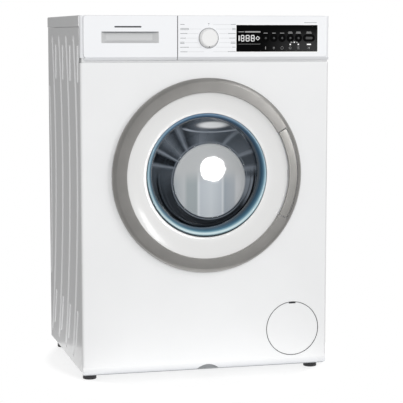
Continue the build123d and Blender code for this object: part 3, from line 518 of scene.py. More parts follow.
def rim_tint_painted_light():
    """The bent edge of the glass: sea green, with painted light that makes it paler low down, a painted white
    highlight band along it and a painted dark line along each side.
    """
    made = material("glass_rim_tint", (0.2, 0.3, 0.34), 0.15, grain=0.02, grain_scale=60, bump=0.02,
                    sockets=GLOSS_COAT)
    graph = Graph(made)
    x, _, z = graph.axes()
    up = z - AXIS_Z
    # the white band is a painted highlight and the ends are painted dark edge lines; height and side shift
    # them
    along = graph.line(graph.distance(x, up), 0.1265, 0.145)
    along += graph.line(up, -0.14, 0.14, 0.16, -0.14)
    along += graph.line(x, 0.02, 0.14, 0.0, -0.14)
    edges = graph.ramp(along, [(0.0, (0.03, 0.05, 0.07)), (0.20, (0.06, 0.12, 0.18)),
                               (0.42, (0.12, 0.23, 0.32)), (0.56, (0.42, 0.58, 0.66)), (0.66, (1, 1, 1)),
                               (0.80, (0.85, 0.92, 0.95)), (0.90, (0.12, 0.18, 0.21)),
                               (1.0, (0.03, 0.04, 0.05))])
    # sea green tint with painted shade: pale low down, navy at the top
    green_tint_and_shade = graph.ramp(graph.line(up, -0.14, 0.14),
                        [(0.0, (0.72, 0.86, 0.88)), (0.5, (0.38, 0.53, 0.60)), (1.0, (0.13, 0.22, 0.33))])
    graph.shade({"Base Color": graph.mix(1.0, green_tint_and_shade, edges, "MULTIPLY")})
    return made


def enamel_painted_shade():
    """White enamel with painted shade that turns it a little greyer where the front rolls under."""
    made = material("hem_enamel_painted_shade", (0.86, 0.865, 0.87), 0.36, grain=0.03, grain_scale=420, bump=0.06,
                    bump_scale=520, sockets={"Coat Weight": 0.2, "Coat Roughness": 0.12})
    graph = Graph(made)
    # painted shade: darker towards the bottom of the hem
    up = graph.line(graph.axes()[2], 0.018, 0.033)
    graph.shade({"Base Color": graph.ramp(up, [(0, (0.62, 0.635, 0.66)), (1, (0.86, 0.865, 0.87))])})
    return made


glass = glass_with_painted_reflections()
smoked = acrylic_painted_sheen()

FINISHES = {
    "white_sheet": white_paint,
    "zinc_sheet": zinc,
    "worktop_laminate": worktop_finish,
    "white_plastic": white_panel,
    "silver_plastic": ring_silver,
    "black_gloss": black_gloss,
    "door_glass": glass,
    "grey_plastic": grey_plastic,
    "black_plastic": black_plastic,
    "filter_plastic": filter_plastic,
    "drum_steel": drum_steel,
    "bright_steel": bright_steel,
    "cast_metal": cast_metal,
    "concrete": concrete,
    "gasket_rubber": rubber,
    "circuit_board": board,
}
# the display window gets the acrylic with the painted sheen
OWN_FINISHES = {"pump_cover": white_paint, "display_window": smoked}


def finish_frame_nodes():
    """Gives each frame node the material of its slot in the record."""
    slots = {part["node"]: part["material_slot"] for part in frame["record"]["subparts"]}
    for name, obj in NODES.items():
        obj.data.materials.clear()
        obj.data.materials.append(OWN_FINISHES.get(name, FINISHES[slots[name]]))


finish_frame_nodes()


# Door


def ring_sections():
    """The silver ring's section, whole and where the handle's gap leaves only the outer lip."""
    face = deep([(193.5, -12.4), (193.5, -20.2), (194.2, -20.9), (217.5, -19.2), (222.8, -16.6),
                 (226.5, -12), (226.5, -5), (224.5, -1.5)])
    inside = deep([(222.3, -1.5), (224.2, -5), (224.2, -11.4), (221, -15.3), (217, -17.9), (210, -18.7),
                   (195.6, -19.6), (195.6, -12.4)])
    whole = rounded(face + inside, [0, 0.0006, 0.0007, 0.0015, 0.0022, 0.0018, 0.001, 0] + [0] * 8, 4)
    lip = deep([(216.8, -19.25), (217.5, -19.2), (222.8, -16.6), (226.5, -12), (226.5, -5), (224.5, -1.5),
                (222.3, -1.5), (224.2, -5), (224.2, -11.4), (221, -15.3), (217, -17.4), (216.8, -17.4)])
    lip = rounded(lip, [0, 0.0004, 0.0022, 0.0018, 0.001, 0] + [0] * 6, 4)
    return whole, lip


def notched(verts, faces, profile):
    """The ring with its skirt cut short at the hinge's two knuckles."""
    skirt = [i for i, (_, y) in enumerate(profile) if y > FRONT - 0.009]
    made = []
    for i, (x, y, z) in enumerate(verts):
        place = i % len(profile)
        up = abs(z - AXIS_Z)
        if place in skirt and x < 0 and KNUCKLE[0] < up < KNUCKLE[1]:
            radius = 0.2264 - 0.0021 * skirt.index(place) / (len(skirt) - 1)
            scale = radius / math.hypot(x, z - AXIS_Z)
            x, y, z = x * scale, FRONT - 0.009, AXIS_Z + (z - AXIS_Z) * scale
        made.append((x, y, z))
    return made, faces


def ring_and_grip():
    """The door's silver ring and the handle in its gap."""
    whole, lip = ring_sections()
    low, high = HANDLE_ANGLES
    gap = 0.55
    ring = together(notched(*turned(whole, start=high + gap, end=360 + low - gap, steps=400), whole),
                    turned(lip, start=low - gap, end=high + gap, steps=96))
    ring = soften(piece("door_ring", *ring, ring_silver, "door", "silver_plastic"), 40)
    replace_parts(ring, "door_outer_ring")
    grip = rounded(deep([(194.7, -21.0), (214.9, -19.6), (214.9, -14.8), (194.7, -15.6)]),
                   [0.0011, 0.0009, 0.0004, 0.0004], 5)
    grip = piece("door_handle_grip", *turned(grip, start=low, end=high, steps=60), handle_silver, "handle",
                 "silver_plastic")
    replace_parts(soften(grip, 40), "door_handle")


def funnel():
    """The white funnel from the ring down to the glass."""
    low, high = HANDLE_ANGLES
    face = through((192.7, -12.2), (168, -6.4), (145.8, -4.2), 28)
    back = through((145.8, -1.4), (168, -3.4), (192.7, -9.2), 28)
    cone = deep([*face, (145.1, -3.9), (144.8, -3.2), (144.8, -2.0), (145.1, -1.5), *back])
    flange = deep([(192.7, -12.2), (199, -12.2), (199, -9.2), (192.7, -9.2)])
    cone = together(turned(cone), turned(flange, start=high + 1, end=359 + low, steps=120))
    cone = soften(piece("door_funnel_face", *cone, door_white, "door", "white_plastic"), 40)
    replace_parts(cone, "door_funnel")


def glass_bowl():
    """The thick glass bowl, which leans down to the right, and the tinted bend along its edge."""
    inner = [(0.01, 59), *[(r, 59) for r in (20, 40, 60, 75, 84)]]
    inner += through((85.6, 58.2), (116.5, 48), (131, 24), 24)
    inner += [(134, 14), (136.8, 5), (139, -0.8)]
    outer = [(158, -0.8), (158, 3.6), (141.2, 3.6), (139, 14), (136, 26)]
    outer += through((136, 26.2), (121, 52), (85, 63.8), 24)[1:]
    outer += [(r, 64) for r in (84.4, 82, 75, 60, 40, 20, 0.01)]
    verts, faces = turned(deep(inner + outer), steps=360)
    leant = []
    for x, y, z in verts:
        share = smooth_step((y - FRONT - 0.014) / 0.036)
        leant.append((x + BOWL_SHIFT[0] * share, y, z + BOWL_SHIFT[1] * share))
    bowl = soften(piece("door_glass_pane", leant, faces, glass, "door", "door_glass"), 14)
    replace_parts(bowl, "door_glass_bowl")
    rim = [(145.0, -1.2), (143.4, -2.6), (140.4, -2.9), (137.0, -0.6), (133.0, 5), (129.4, 13), (127.0, 22),
           (127.4, 22.4), (130.2, 13.6), (134.2, 6), (138.2, -0.95), (144.6, -0.95)]
    verts, faces = turned(deep(rim))
    raised = [(x, y, z + 0.0035 * smooth_step((y - FRONT) / 0.014)) for x, y, z in verts]
    piece("door_glass_rim", raised, faces, rim_tint_painted_light(), "door", "door_glass")


ring_and_grip()
funnel()
glass_bowl()


# Drum and the soft pieces round it


def perforated_wall(radius, y0, y1, around=120, rows=20, hole=0.0017):
    """A drum wall whose holes are real, in rows that are half a pitch apart."""
    half = 2 * around
    pitch = (y1 - y0) / rows
    verts, faces, edge = [], [], {}

    def point(u, y):
        angle = 2 * math.pi * u / around
        return radius * math.cos(angle), y, AXIS_Z + radius * math.sin(angle)

    def shared(u2, v2):
        key = (u2 % half, v2)
        if key not in edge:
            edge[key] = len(verts)
            verts.append(point(key[0] / 2, y0 + pitch * v2 / 2))
        return edge[key]

    reach = hole / (2 * math.pi * radius / around)
    for row in range(rows):
        for column in range(around):
            u2, v2 = 2 * column + row % 2, 2 * row
            loop = [(0, 0), (1, 0), (2, 0), (2, 1), (2, 2), (1, 2), (0, 2), (0, 1)]
            outside = [shared(u2 + du, v2 + dv) for du, dv in loop]
            inside = []
            for k in range(8):
                turn = math.radians(225 + 45 * k)
                inside.append(len(verts))
                verts.append(point(u2 / 2 + 0.5 + reach * math.cos(turn),
                                   y0 + pitch * (row + 0.5) + hole * math.sin(turn)))
            for k in range(8):
                n = (k + 1) % 8
                faces.append((outside[k], inside[k], inside[n], outside[n]))
    return verts, faces


def drum_back(radius, y, rings=40, around=192):
    """The drum's rear wall, pressed into a hub dome and three broad arms."""
    verts, faces = [], []
    for i in range(rings + 1):
        r = radius * max(i / rings, 0.0005)
        for j in range(around):
            angle = 2 * math.pi * j / around
            arm = abs((math.degrees(angle) + 90 + 60) % 120 - 60) * math.pi / 180 * r
            press = 0.006 * smooth_step((0.034 - arm) / 0.010) * smooth_step((r - 0.05) / 0.02)
            press *= smooth_step((0.205 - r) / 0.02)
            dome = 0.009 * smooth_step((0.050 - r) / 0.012)
            bead = 0.004 * math.exp(-((r - 0.095) / 0.006) ** 2)
            verts.append((r * math.cos(angle), y - press - dome + bead * (press < 0.001),
                          AXIS_Z + r * math.sin(angle)))
    for i in range(rings):
        faces += band(i * around, (i + 1) * around, around)
    return verts, faces


def drum():
    """The perforated wall, the pressed rear wall and the rolled lip at the front."""
    wall = piece("drum_wall", *perforated_wall(DRUM_RADIUS - 0.0011, DRUM_LOW.y + 0.012, DRUM_HIGH.y - 0.004),
                 drum_steel, "drum", "drum_steel")
    back = piece("drum_rear_wall", *drum_back(DRUM_RADIUS - 0.001, DRUM_HIGH.y - 0.0012), drum_steel, "drum",
                 "drum_steel")
    for obj, side in ((wall, 1), (back, -1)):
        thick = obj.modifiers.new("sheet", "SOLIDIFY")
        thick.thickness = 0.0007
        thick.offset = side
    r, y = DRUM_RADIUS, DRUM_LOW.y
    lip = [(r - 0.0004, y + 0.0125), (r - 0.0004, y + 0.006), (r - 0.006, y + 0.0012),
           (r - 0.012, y + 0.0004),
           (0.158, y + 0.0004), (0.1515, y + 0.003), (0.1515, y + 0.0045), (0.158, y + 0.0016),
           (r - 0.012, y + 0.0016), (r - 0.0066, y + 0.0024), (r - 0.0014, y + 0.0065),
           (r - 0.0014, y + 0.0125)]
    soften(piece("drum_front_lip", *turned(lip), drum_steel, "drum", "drum_steel"), 60)
    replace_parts(wall, "drum_shell")


drum()


def bellows():
    """The folded rubber seal between the cabinet's mouth and the tub."""
    low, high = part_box("door_gasket")
    centre = [(170, 0), (162, 2), (154, 7), (149, 13), (151, 20), (160, 25), (166, 31), (165, 39), (157, 45),
              (149, 50), (146, 57), (149, 64), (147, 71)]
    line = smooth_line([(r * MM, low.y + 0.0014 + d * MM) for r, d in centre], 4)
    obj = piece("door_bellows", *turned(thickened(line, 0.0024), steps=144), rubber, None, "gasket_rubber")
    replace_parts(obj, "door_gasket")
    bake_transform(obj)


def smooth_line(points, steps):
    """A Catmull-Rom line through points."""
    ends = [points[0], *points, points[-1]]
    line = []
    for i in range(1, len(ends) - 2):
        a, b, c, d = (np.array(p, float) for p in ends[i - 1:i + 3])
        for k in range(steps):
            t = k / steps
            line.append(0.5 * (2 * b + (c - a) * t + (2 * a - 5 * b + 4 * c - d) * t ** 2
                               + (3 * b - a - 3 * c + d) * t ** 3))
    return [*line, np.array(points[-1], float)]


def thickened(line, thickness):
    """A closed outline round a line in a plane."""
    line = np.array(line)
    along = np.gradient(line, axis=0)
    across = np.column_stack([-along[:, 1], along[:, 0]])
    across *= thickness / 2 / np.linalg.norm(across, axis=1)[:, None]
    return [tuple(p) for p in line + across] + [tuple(p) for p in (line - across)[::-1]]


bellows()


def tube(path, radius, sides=10):
    """Points and faces of a round wire along a path, closed at its ends."""
    path = [Vector(p) for p in path]
    verts, faces = [], []
    up = Vector((0, 0, 1))
    for i, p in enumerate(path):
        along = (path[min(i + 1, len(path) - 1)] - path[max(i - 1, 0)]).normalized()
        side = along.cross(up)
        side = side.normalized() if side.length > 1e-4 else Vector((1, 0, 0))
        over = side.cross(along).normalized()
        for k in range(sides):
            angle = 2 * math.pi * k / sides
            verts.append(tuple(p + (side * math.cos(angle) + over * math.sin(angle)) * radius))
    for i in range(len(path) - 1):
        faces += band(i * sides, (i + 1) * sides, sides)
    faces.append(tuple(reversed(range(sides))))
    faces.append(tuple(range(len(verts) - sides, len(verts))))
    return verts, faces


def solid_box(node, keep):
    """Lowest and highest corner of the part of a node whose points pass a test."""
    points = np.array([v.co for v in NODES[node].data.vertices if keep(v.co)])
    return Vector(points.min(0)), Vector(points.max(0))


def coil(name, low, high):
    """A coil spring, which stretches between the cabinet and the tub."""
    x, y = (low.x + high.x) / 2, (low.y + high.y) / 2
    radius, wire, turns, per_turn = (high.x - low.x) / 2, 0.0018, 17, 20
    path = []
    for i in range(turns * per_turn + 1):
        t = i / (turns * per_turn)
        angle = 2 * math.pi * i / per_turn
        r = (radius - wire) * min(1.0, 0.3 + 8 * t, 0.3 + 8 * (1 - t))
        z = low.z + wire + (high.z - low.z - 2 * wire) * t
        path.append((x + r * math.cos(angle), y + r * math.sin(angle), z))
    spring = piece(f"suspension_coil_{name}", *tube(path, wire, 8), bright_steel, None, "bright_steel")
    if name == "left":
        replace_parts(spring, "suspension_springs")
    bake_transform(spring)


def hose(name, low, high):
    """A corrugated hose, which stretches between the cabinet and the tub."""
    x, y, top = (low.x + high.x) / 2, (low.y + high.y) / 2, high.z
    radius, height = (high.x - low.x) / 2, high.z - low.z
    count = int(height / 0.009)
    profile = []
    for i in range(count * 6 + 1):
        t = i / (count * 6)
        fold = 0.5 + 0.5 * math.cos(2 * math.pi * count * t)
        profile.append((radius - 0.0035 * fold, low.z + height * t))
    profile += [(radius - 0.006, high.z), (radius - 0.006, low.z)]
    verts, faces = turned(profile, z=0.0, steps=40)
    upright = [(x + vx, y + vz, vy) for vx, vy, vz in verts]
    tube_piece = piece(f"corrugated_hose_{name}", upright, [tuple(reversed(f)) for f in faces], belt_rubber,
                       None, "gasket_rubber")
    if name == "left":
        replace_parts(tube_piece, "tub_hoses")
        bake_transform(tube_piece)
    else:
        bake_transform(tube_piece)


def suspension():
    for side, name in ((-1, "left"), (1, "right")):
        coil(name, *solid_box("suspension_springs", lambda p, s=side: p.x * s > 0))
        hose(name, *solid_box("tub_hoses", lambda p, s=side: p.x * s > 0))


suspension()


# Front panel


def lower_hem():
    """The front's rolled lower edge, with the arch in its middle, a dark plate behind the arch as painted
    shade in the recess, and a dark strip under the hem as painted shadow.
    """
    section = [(0.4, 36), (-0.3, 33), (-0.3, 26), (0.0, 23.5), (0.8, 21), (2.2, 18.8), (4.0, 17.4),
               (6.0, 17.0), (8.0, 17.0), (8.0, 18.0), (6.2, 18.0), (4.6, 18.6), (3.2, 20), (2.0, 22.5),
               (1.3, 26), (1.3, 36)]
    middle, half, radius, centre = 0.003, 0.0295, 0.0374, -0.0089
    left, right = PANEL_LOW.x + 0.0012, PANEL_HIGH.x - 0.0012
    places = [left, *[middle + half * k / 24 for k in range(-24, 25)], right]
    verts, faces = [], []
    for x in places:
        arch = radius ** 2 - (x - middle) ** 2
        top = centre + math.sqrt(arch) if arch > 0 else 0.0
        verts += [(x, FRONT + y * MM, max(z * MM, top)) for y, z in section]
    n = len(section)
    for i in range(len(places) - 1):
        faces += band((i + 1) * n, i * n, n)
    faces += [tuple(range(n)), tuple(reversed(range((len(places) - 1) * n, len(places) * n)))]
    soften(piece("front_lower_hem", verts, faces, enamel_painted_shade(), "cabinet", "white_sheet"), 40)
    # painted shade: a dark plate behind the arch
    recess = rectangle(middle - 0.033, middle + 0.033, 0.0172, 0.0325, 0.002)
    crisp("hem_recess_shade", plate(recess, FRONT + 0.0084, FRONT + 0.0094), print_and_shade_grey, "cabinet", "grey_plastic")
    # painted shadow: a dark strip under the hem
    under = rectangle(left + 0.004, right - 0.004, 0.0160, 0.0170)
    crisp("hem_under_shadow", plate(under, FRONT + 0.0050, FRONT + 0.0078), print_and_shade_grey, "cabinet",
          "grey_plastic")


def panel_lines():
    """A grey line under the fascia and a dark ring round the pump cover, both painted shade in the gaps, and
    the bar in the fascia's corner.
    """
    # painted shade: a grey line under the fascia
    bottom, top = 0.7381, 0.7391
    bead = rectangle(PANEL_LOW.x + 0.004, PANEL_HIGH.x - 0.004, bottom, top)
    crisp("panel_top_shade_line", plate(bead, FRONT + 0.0004, FRONT + 0.0032), shade_grey_plastic, "cabinet", "white_sheet")
    low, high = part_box("pump_cover")
    r = (high.x - low.x) / 2
    # painted shade: a dark ring in the gap round the pump cover
    gap = [(r + 0.0003, FRONT - 0.0003), (r + 0.0017, FRONT - 0.0003), (r + 0.0017, FRONT + 0.0003),
           (r + 0.0003, FRONT + 0.0003)]
    crisp("cover_gap_shade_ring", turned(gap, (low.x + high.x) / 2, low.z + r, steps=144), print_and_shade_dark, "cabinet",
          "grey_plastic")
    corner = (FASCIA_HIGH.x - 0.064, FASCIA_HIGH.x - 0.033, DRAWER_HIGH.z - 0.0162, DRAWER_HIGH.z - 0.0152)
    bars("corner_bar", [corner], FASCIA_LOW.y, print_and_shade_grey, "grey_plastic")


# Controls


def bars(name, rectangles, y, finish, slot):
    """Printed marks: thin raised rectangles (x0, x1, z0, z1) on a face at y."""
    return marks(name, [rectangle(*r) for r in rectangles], y, finish, slot)


def marks(name, outlines, y, finish, slot):
    """Printed or lit marks: thin raised outlines on a face at y."""
    shells = [plate(outline, y - 0.00012, y + 0.0002) for outline in outlines]
    crisp(name, together(*shells), finish, "cabinet", slot)


def knob():
    """The rotary knob with its pointer, and the dark line round its foot."""
    r = (KNOB_HIGH.x - KNOB_LOW.x) / 2
    front = KNOB_LOW.y
    back = FASCIA_LOW.y - 0.0004
    profile = [(NEAR_AXIS, front + 0.0006), (r * 0.5, front + 0.0004), (r - 0.0052, front),
               (r - 0.0036, front + 0.0006), (r - 0.0006, back - 0.0022), (r, back), (r - 0.002, back),
               (NEAR_AXIS, back)]
    profile = rounded(profile, [0, 0.004, 0.001, 0.0016, 0.001, 0, 0, 0], 4)
    cap = piece("knob_cap", *turned(profile, KNOB_X, KNOB_Z, steps=96), knob_white, "knob", "white_plastic")
    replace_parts(soften(cap, 50), "program_knob")
    pointer = rectangle(KNOB_X - 0.0016, KNOB_X + 0.0016, KNOB_Z - r + 0.0014, KNOB_Z - r + 0.0040, 0.0005)
    crisp("knob_pointer", plate(pointer, front + 0.0012, front + 0.0060), print_and_shade_dark, "knob", "black_plastic")
    seat = [(r + 0.0002, back + 0.0006), (r + 0.0010, back + 0.0006), (r + 0.0010, back - 0.0006),
            (r + 0.0002, back - 0.0010)]
    piece("knob_seat", *turned(seat, KNOB_X, KNOB_Z, steps=96), print_and_shade_grey, "cabinet", "grey_plastic")


def dial_marks():
    """Generic leader lines, ticks and short bars round the knob, where a real dial has its words."""
    thin, bar, pitch, count = 0.00022, 0.00055, 0.0104, 7
    reach = (KNOB_HIGH.x - KNOB_LOW.x) / 2 + 0.0045
    lines, words = [], []
    for side in (-1, 1):
        far = 0.066 if side > 0 else 0.0672
        for i in range(count):
            row = KNOB_Z + pitch * ((count - 1) / 2 - i)
            drop = min(abs(row - KNOB_Z), reach * 0.98)
            start = max(math.sqrt(reach ** 2 - drop ** 2), 0.011)
            length = 0.010 + 0.0035 * ((i * 3 + (side > 0)) % 4)
            stop = far - length - 0.0015
            if side > 0 or i:
                lines.append((*sorted((KNOB_X + side * start, KNOB_X + side * stop)), row - thin, row + thin))
            ends = sorted((KNOB_X + side * (far - length), KNOB_X + side * far))
            for level in (row,) if i % 3 != 1 else (row + 0.0012, row - 0.0016):
                words.append((*ends, level - bar, level + bar))
    top = KNOB_Z + reach + 0.0012
    lines.append((KNOB_X - 0.0004, KNOB_X + 0.0004, top, top + 0.0028))
    words.append((KNOB_X - 0.002, KNOB_X + 0.002, top + 0.004, top + 0.0053))
    bars("dial_leader_lines", lines, FASCIA_LOW.y, print_pale, "grey_plastic")
    bars("dial_bars", words, FASCIA_LOW.y, print_and_shade_grey, "grey_plastic")


def seven_segment(x0, x1, z0, z1, width):
    """The seven bars of a digit as outlines with pointed ends."""
    middle = (z0 + z1) / 2
    gap, half = width * 0.12, width / 2
    outlines = []
    for z in (z0 + half, middle, z1 - half):
        a, b = x0 + half + gap, x1 - half - gap
        outlines.append([(a, z), (a + half, z - half), (b - half, z - half), (b, z), (b - half, z + half),
                         (a + half, z + half)])
    for x in (x0 + half, x1 - half):
        for low, high in ((z0 + half, middle), (middle, z1 - half)):
            a, b = low + gap, high - gap
            outlines.append([(x, a), (x + half, a + half), (x + half, b - half), (x, b), (x - half, b - half),
                             (x - half, a + half)])
    return outlines


def digits():
    """Three generic digits, half a digit to their left and a diamond to their right."""
    left, top = SCREEN_LOW.x, SCREEN_HIGH.z
    high, low = top - 0.0231, top - 0.0376
    lit = []
    for x0, x1 in ((0.0108, 0.0188), (0.0226, 0.0313), (0.035, 0.0435)):
        lit += seven_segment(left + x0, left + x1, low, high, 0.0014)
    for z0, z1 in ((low + 0.001, low + 0.0075), (high - 0.0075, high - 0.001)):
        lit.append(rectangle(left + 0.0054, left + 0.0074, z0, z1))
    x, z, half, inside = left + 0.0515, (low + high) / 2, 0.0052, 0.72
    tips = [(0, half), (half, 0), (0, -half), (-half, 0)]
    for a, b in zip(tips, tips[1:] + tips[:1]):
        lit.append([(x + a[0], z + a[1]), (x + b[0], z + b[1]), (x + b[0] * inside, z + b[1] * inside),
                    (x + a[0] * inside, z + a[1] * inside)])
    marks("display_digits", lit, SCREEN_LOW.y, lamp_white, "white_plastic")


def display_marks(centres):
    """Bars, lamps and plain signs over and under the buttons, where the real panel has its words."""
    left, top, face = SCREEN_LOW.x, SCREEN_HIGH.z, SCREEN_LOW.y
    dim = [(left + 0.005, left + 0.0185, top - 0.0164, top - 0.0148),
           (left + 0.0205, left + 0.0578, top - 0.0172, top - 0.0142),
           (left + 0.005, left + 0.0578, top - 0.0441, top - 0.0436)]
    halves = (0.0048, 0.0042, 0.0052, 0.0058, 0.0062, 0.0068)
    for i, (centre, half) in enumerate(zip(centres, halves)):
        dim.append((centre - half, centre + half, top - 0.0192, top - 0.0180))
        if i > 2:
            dim.append((centre - half * 0.8, centre + half * 0.8, top - 0.0167, top - 0.0155))
    bars("display_dim_bars", dim, face, lamp_grey, "white_plastic")
    between = (centres[3] + centres[4]) / 2
    lamps = [(centre - 0.0016, centre + 0.0016, top - 0.0463, top - 0.0433) for centre in centres[3:5]]
    lamps += [(centres[5] - 0.0048, centres[5] + 0.0052, top - 0.0462, top - 0.0434),
              (between - 0.0014, between + 0.0014, top - 0.0409, top - 0.0385),
              (between - 0.009, between - 0.0042, top - 0.0400, top - 0.0394),
              (between + 0.0042, between + 0.009, top - 0.0400, top - 0.0394)]
    bars("display_lamps", lamps, face, lamp_white, "white_plastic")
    signs = [outline for i, centre in enumerate(centres) for outline in sign(centre, top - 0.0528, i)]
    marks("display_symbols", signs, face, lamp_grey, "white_plastic")


def button_caps(presses):
    """A dome on each round button and a pill on the start button, in a dark grey that is a painted highlight
    on the black buttons.
    """
    for i, (low, high) in enumerate(presses[:-1]):
        dome = [(NEAR_AXIS, low.y - 0.0009), (0.0012, low.y - 0.0008), (0.0022, low.y - 0.0005),
                (0.0028, low.y + 0.0002), (NEAR_AXIS, low.y + 0.0002)]
        dome = turned(dome, (low.x + high.x) / 2, (low.z + high.z) / 2, steps=32)
        soften(piece(f"button_dome_{i + 1}", *dome, button_highlight_grey, f"button_{i + 1}", "black_plastic"), 60)
    low, high = presses[-1]
    x, z = (low.x + high.x) / 2, (low.z + high.z) / 2
    pill = rectangle(x - 0.0085, x + 0.0085, z - 0.0029, z + 0.0029, 0.0028)
    pill = plate(pill, low.y - 0.0007, low.y + 0.0002, 0.0004)
    crisp("start_pill", pill, button_highlight_grey, "start", "black_plastic")


def display():
    """The lit marks, the button caps and a brighter white frame round the window, a painted highlight on its
    edge.
    """
    presses = [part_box(f"option_button_{i}") for i in range(1, 6)] + [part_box("start_button")]
    digits()
    display_marks([(low.x + high.x) / 2 for low, high in presses])
    button_caps(presses)
    loops = []
    # painted highlight: a brighter white frame round the window
    for grow, radius in ((0.0018, 0.0022), (0.0001, 0.0012)):
        loops.append(rectangle(SCREEN_LOW.x - grow, SCREEN_HIGH.x + grow, SCREEN_LOW.z - grow,
                               SCREEN_HIGH.z + grow, radius))
    crisp("display_bezel_highlight", frame_of(*loops, SCREEN_LOW.y - 0.0002, FASCIA_LOW.y + 0.0004), bezel_highlight_white,
          "cabinet", "white_plastic")


def frame_of(outer, inner, y0, y1):
    """A flat frame between two outlines with as many points each."""
    n = len(outer)
    verts = [(x, y, z) for y in (y0, y1) for loop in (outer, inner) for x, z in loop]
    return verts, band(0, n, n) + band(3 * n, 2 * n, n) + band(2 * n, 0, n) + band(n, 3 * n, n)


def stroke(x0, z0, x1, z1, width=0.0005):
    """The outline of a straight pen stroke."""
    along = Vector((x1 - x0, z1 - z0)).normalized() * width / 2
    a = Vector((-along.y, along.x))
    return [(x0 + a.x, z0 + a.y), (x1 + a.x, z1 + a.y), (x1 - a.x, z1 - a.y), (x0 - a.x, z0 - a.y)]


def sign(x, z, kind):
    """A small plain sign made of strokes: a bar, a star, a ring, a square, lines or an arrow."""
    s = 0.0032
    if kind == 0:
        return [stroke(x, z - s, x, z + s, 0.0014)]
    if kind == 1:
        return [stroke(x - s * math.cos(a), z - s * math.sin(a), x + s * math.cos(a), z + s * math.sin(a))
                for a in (math.pi / 2, math.pi / 6, -math.pi / 6)]
    if kind in (2, 3):
        n = 12 if kind == 2 else 4
        turns = [2 * math.pi * k / n for k in range(n)]
        ends = [(x + s * math.cos(turn), z + s * math.sin(turn)) for turn in turns]
        return [stroke(*ends[k], *ends[(k + 1) % n]) for k in range(n)]
    if kind == 4:
        return [stroke(x - s * 0.8, z + d, x + s * 0.8, z + d, 0.0007) for d in (-0.0024, 0, 0.0024)]
    return [stroke(x - s, z - s * 0.8, x - s * 0.2, z), stroke(x - s, z + s * 0.8, x - s * 0.2, z),
            stroke(x + s * 0.4, z - s * 0.8, x + s * 0.4, z + s * 0.8, 0.0012)]


# Drawer front


def drawer_front():
    """A plain badge strip, a grey lining of the grip as painted shade in its recess, and the lip that fingers
    pull, painted dark as the shade under the grip's top edge.
    """
    low, high = DRAWER_LOW, DRAWER_HIGH
    middle, half = (low.x + high.x) / 2 - 0.006, 0.031
    badge = rectangle(middle - half, middle + half, high.z - 0.0275, high.z - 0.0242, 0.0012, 4)
    crisp("plain_badge", plate(badge, low.y - 0.0003, low.y + 0.0002), print_and_shade_dark, "drawer", "black_plastic")
    x, z = low.x + 0.108, high.z - 0.0495
    front, rear = low.y - 0.00005, low.y + 0.0085
    # painted shade: a grey lining inside the grip's recess
    mouth = rectangle(x - 0.0665, x + 0.0665, z - 0.013, z + 0.013)
    bottom = rectangle(x - 0.0535, x + 0.0535, z - 0.0070, z + 0.0115)
    verts = [(px, front, pz) for px, pz in mouth] + [(px, rear, pz) for px, pz in bottom]
    verts += [(px, py + 0.001, pz) for px, py, pz in verts]
    faces = [(4, 5, 6, 7), (15, 14, 13, 12), *band(0, 4, 4), *band(12, 8, 4), *band(8, 0, 4)]
    crisp("grip_recess_shade", (verts, faces), shade_grey_plastic, "drawer", "white_plastic")
    # painted shade: the lip is dark as the shade under the grip's top edge
    lip = [(front, z + 0.0127), (low.y + 0.0002, z + 0.0108), (rear - 0.0004, z + 0.0096),
           (rear - 0.0004, z + 0.0116)]
    crisp("grip_finger_lip_shade", along_x(lip, x - 0.0655, x + 0.0655), print_and_shade_grey, "drawer", "grey_plastic")


def along_x(section, x0, x1):
    """Points and faces of a closed (y, z) section carried along X."""
    n = len(section)
    verts = [(x, y, z) for x in (x0, x1) for y, z in section]
    return verts, [tuple(range(n)), tuple(reversed(range(n, 2 * n))), *band(n, 0, n)]


def fascia_edges():
    """The rolled lower lips of the drawer front and the fascia, in a greyer white that adds painted shade,
    and a dark strip in the seam between the two as painted shade.
    """
    y, z = DRAWER_LOW.y, DRAWER_LOW.z
    section = [(y, z), (y + 0.0006, z - 0.0016), (y + 0.0052, z - 0.0062), (y + 0.0072, z - 0.0064),
               (y + 0.0074, z)]
    # the lips take a greyer white, painted shade on their rounded lower edge
    for name, x0, x1, body in (
        ("drawer_lower_lip", DRAWER_LOW.x + 0.0025, DRAWER_HIGH.x, "drawer"),
        ("fascia_lower_lip", DRAWER_HIGH.x + 0.001, FASCIA_HIGH.x - 0.0025, "cabinet"),
    ):
        soften(piece(name, *along_x(section, x0, x1), lip_shaded_white, body, "white_plastic"), 30)
    # painted shade: a dark strip in the seam
    seam = rectangle(DRAWER_HIGH.x + 0.0001, DRAWER_HIGH.x + 0.0009, z - 0.005, DRAWER_HIGH.z - 0.001)
    crisp("drawer_seam_shade_strip", plate(seam, y + 0.0012, y + 0.004), print_and_shade_dark, "cabinet", "grey_plastic")


lower_hem()
knob()
dial_marks()
display()
drawer_front()
fascia_edges()
panel_lines()


# Light, floor and camera


def surroundings(scene):
    """White where the camera sees it, and a dimmer white that brightens to the right as a light."""
    world = bpy.data.worlds.new("studio")
    scene.world = world
    graph = Graph(world)
    white = (1, 1, 1, 1)
    dim = graph.nodes["Background"]
    dim.inputs["Color"].default_value = white
    graph.put(dim.inputs["Strength"], graph.line(graph.axes("Generated")[0], -1, 1, 0.34, 0.42))
    bright = graph.add("Background", {"Color": white, "Strength": 1.0})
    seen = graph.add("LightPath", {}, "Is Camera Ray")
    both = graph.add("MixShader", {0: seen, 1: Term(graph, dim.outputs[0]), 2: bright})
    graph.put(graph.nodes["World Output"].inputs["Surface"], both)


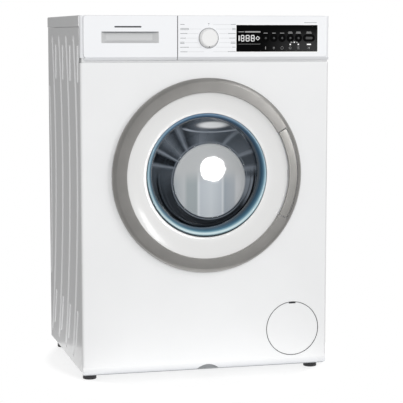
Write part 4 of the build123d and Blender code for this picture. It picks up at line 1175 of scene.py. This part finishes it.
def area_light(name, place, target, width, height, power, shape="RECTANGLE"):
    data = bpy.data.lights.new(name, "AREA")
    data.shape = shape
    data.size = width
    if shape == "RECTANGLE":
        data.size_y = height
    data.energy = power
    lamp = bpy.data.objects.new(name, data)
    bpy.context.scene.collection.objects.link(lamp)
    lamp.location = place
    lamp.rotation_euler = (Vector(target) - Vector(place)).to_track_quat("-Z", "Y").to_euler()
    return lamp


def lights():
    """Soft white lights, and a round lamp that only shows as the bright spot in the glass."""
    glow = area_light("drum_glow", (0, -0.10, AXIS_Z + 0.05), (0, 0.13, AXIS_Z), 0.18, 0.18, 0.14)
    glow.visible_camera = False
    glow.visible_glossy = False
    key = area_light("key", (2.4, -3.2, 2.7), (0.0, -0.2, 0.5), 1.5, 1.5, 26)
    front = area_light("front", (-1.0, -4.4, 1.3), (0.0, 0.0, 0.5), 1.2, 1.6, 96)
    front.visible_glossy = False
    softbox = area_light("softbox", (2.05, -3.55, 1.0), (0.0, -0.24, 0.5), 0.4, 0.8, 9)
    spot = area_light("round_lamp", SPOT_PLACE, (0.0299, -0.1655, 0.4850), 0.115, 0.115, 1.9, shape="DISK")
    spot.visible_diffuse = False
    for lamp in (glow, key, front, softbox, spot):
        lamp.visible_transmission = False


def floor():
    """A round pale floor that brightens towards its edge, where it meets the white surroundings."""
    radius, thickness = 0.40, 0.02
    disc = [(radius * math.cos(math.pi * k / 48), radius * math.sin(math.pi * k / 48)) for k in range(96)]
    verts, faces = plate(disc, -thickness, 0)
    flat = [(x, z, y) for x, y, z in verts]
    finish = material("studio_floor", (0.30, 0.30, 0.30), 0.8, shade=0.004, grain_scale=60, bump=0.02,
                      sockets={"Emission Color": (1, 1, 1, 1)})
    graph = Graph(finish)
    x, y, _ = graph.axes()
    graph.shade({"Emission Strength": graph.line(graph.distance(x, y), 0.33, 0.395, 0.75, 1.05)})
    piece("studio_floor", flat, [tuple(reversed(f)) for f in faces], finish, None, smooth=False)


def place_camera(scene):
    data = bpy.data.cameras.new("camera")
    data.sensor_width = 36
    data.lens = 132.46
    camera = bpy.data.objects.new("camera", data)
    scene.collection.objects.link(camera)
    camera.location = (-0.8795, -3.5458, 0.8024)
    yaw, pitch = math.radians(14.623), math.radians(-6.4366)
    forward = Vector((math.sin(yaw) * math.cos(pitch), math.cos(yaw) * math.cos(pitch), math.sin(pitch)))
    camera.rotation_euler = forward.to_track_quat("-Z", "Y").to_euler()
    scene.camera = camera


def studio():
    """A white studio with the floor and the camera."""
    scene = bpy.context.scene
    surroundings(scene)
    lights()
    floor()
    place_camera(scene)
    scene.view_settings.view_transform = "Standard"


studio()
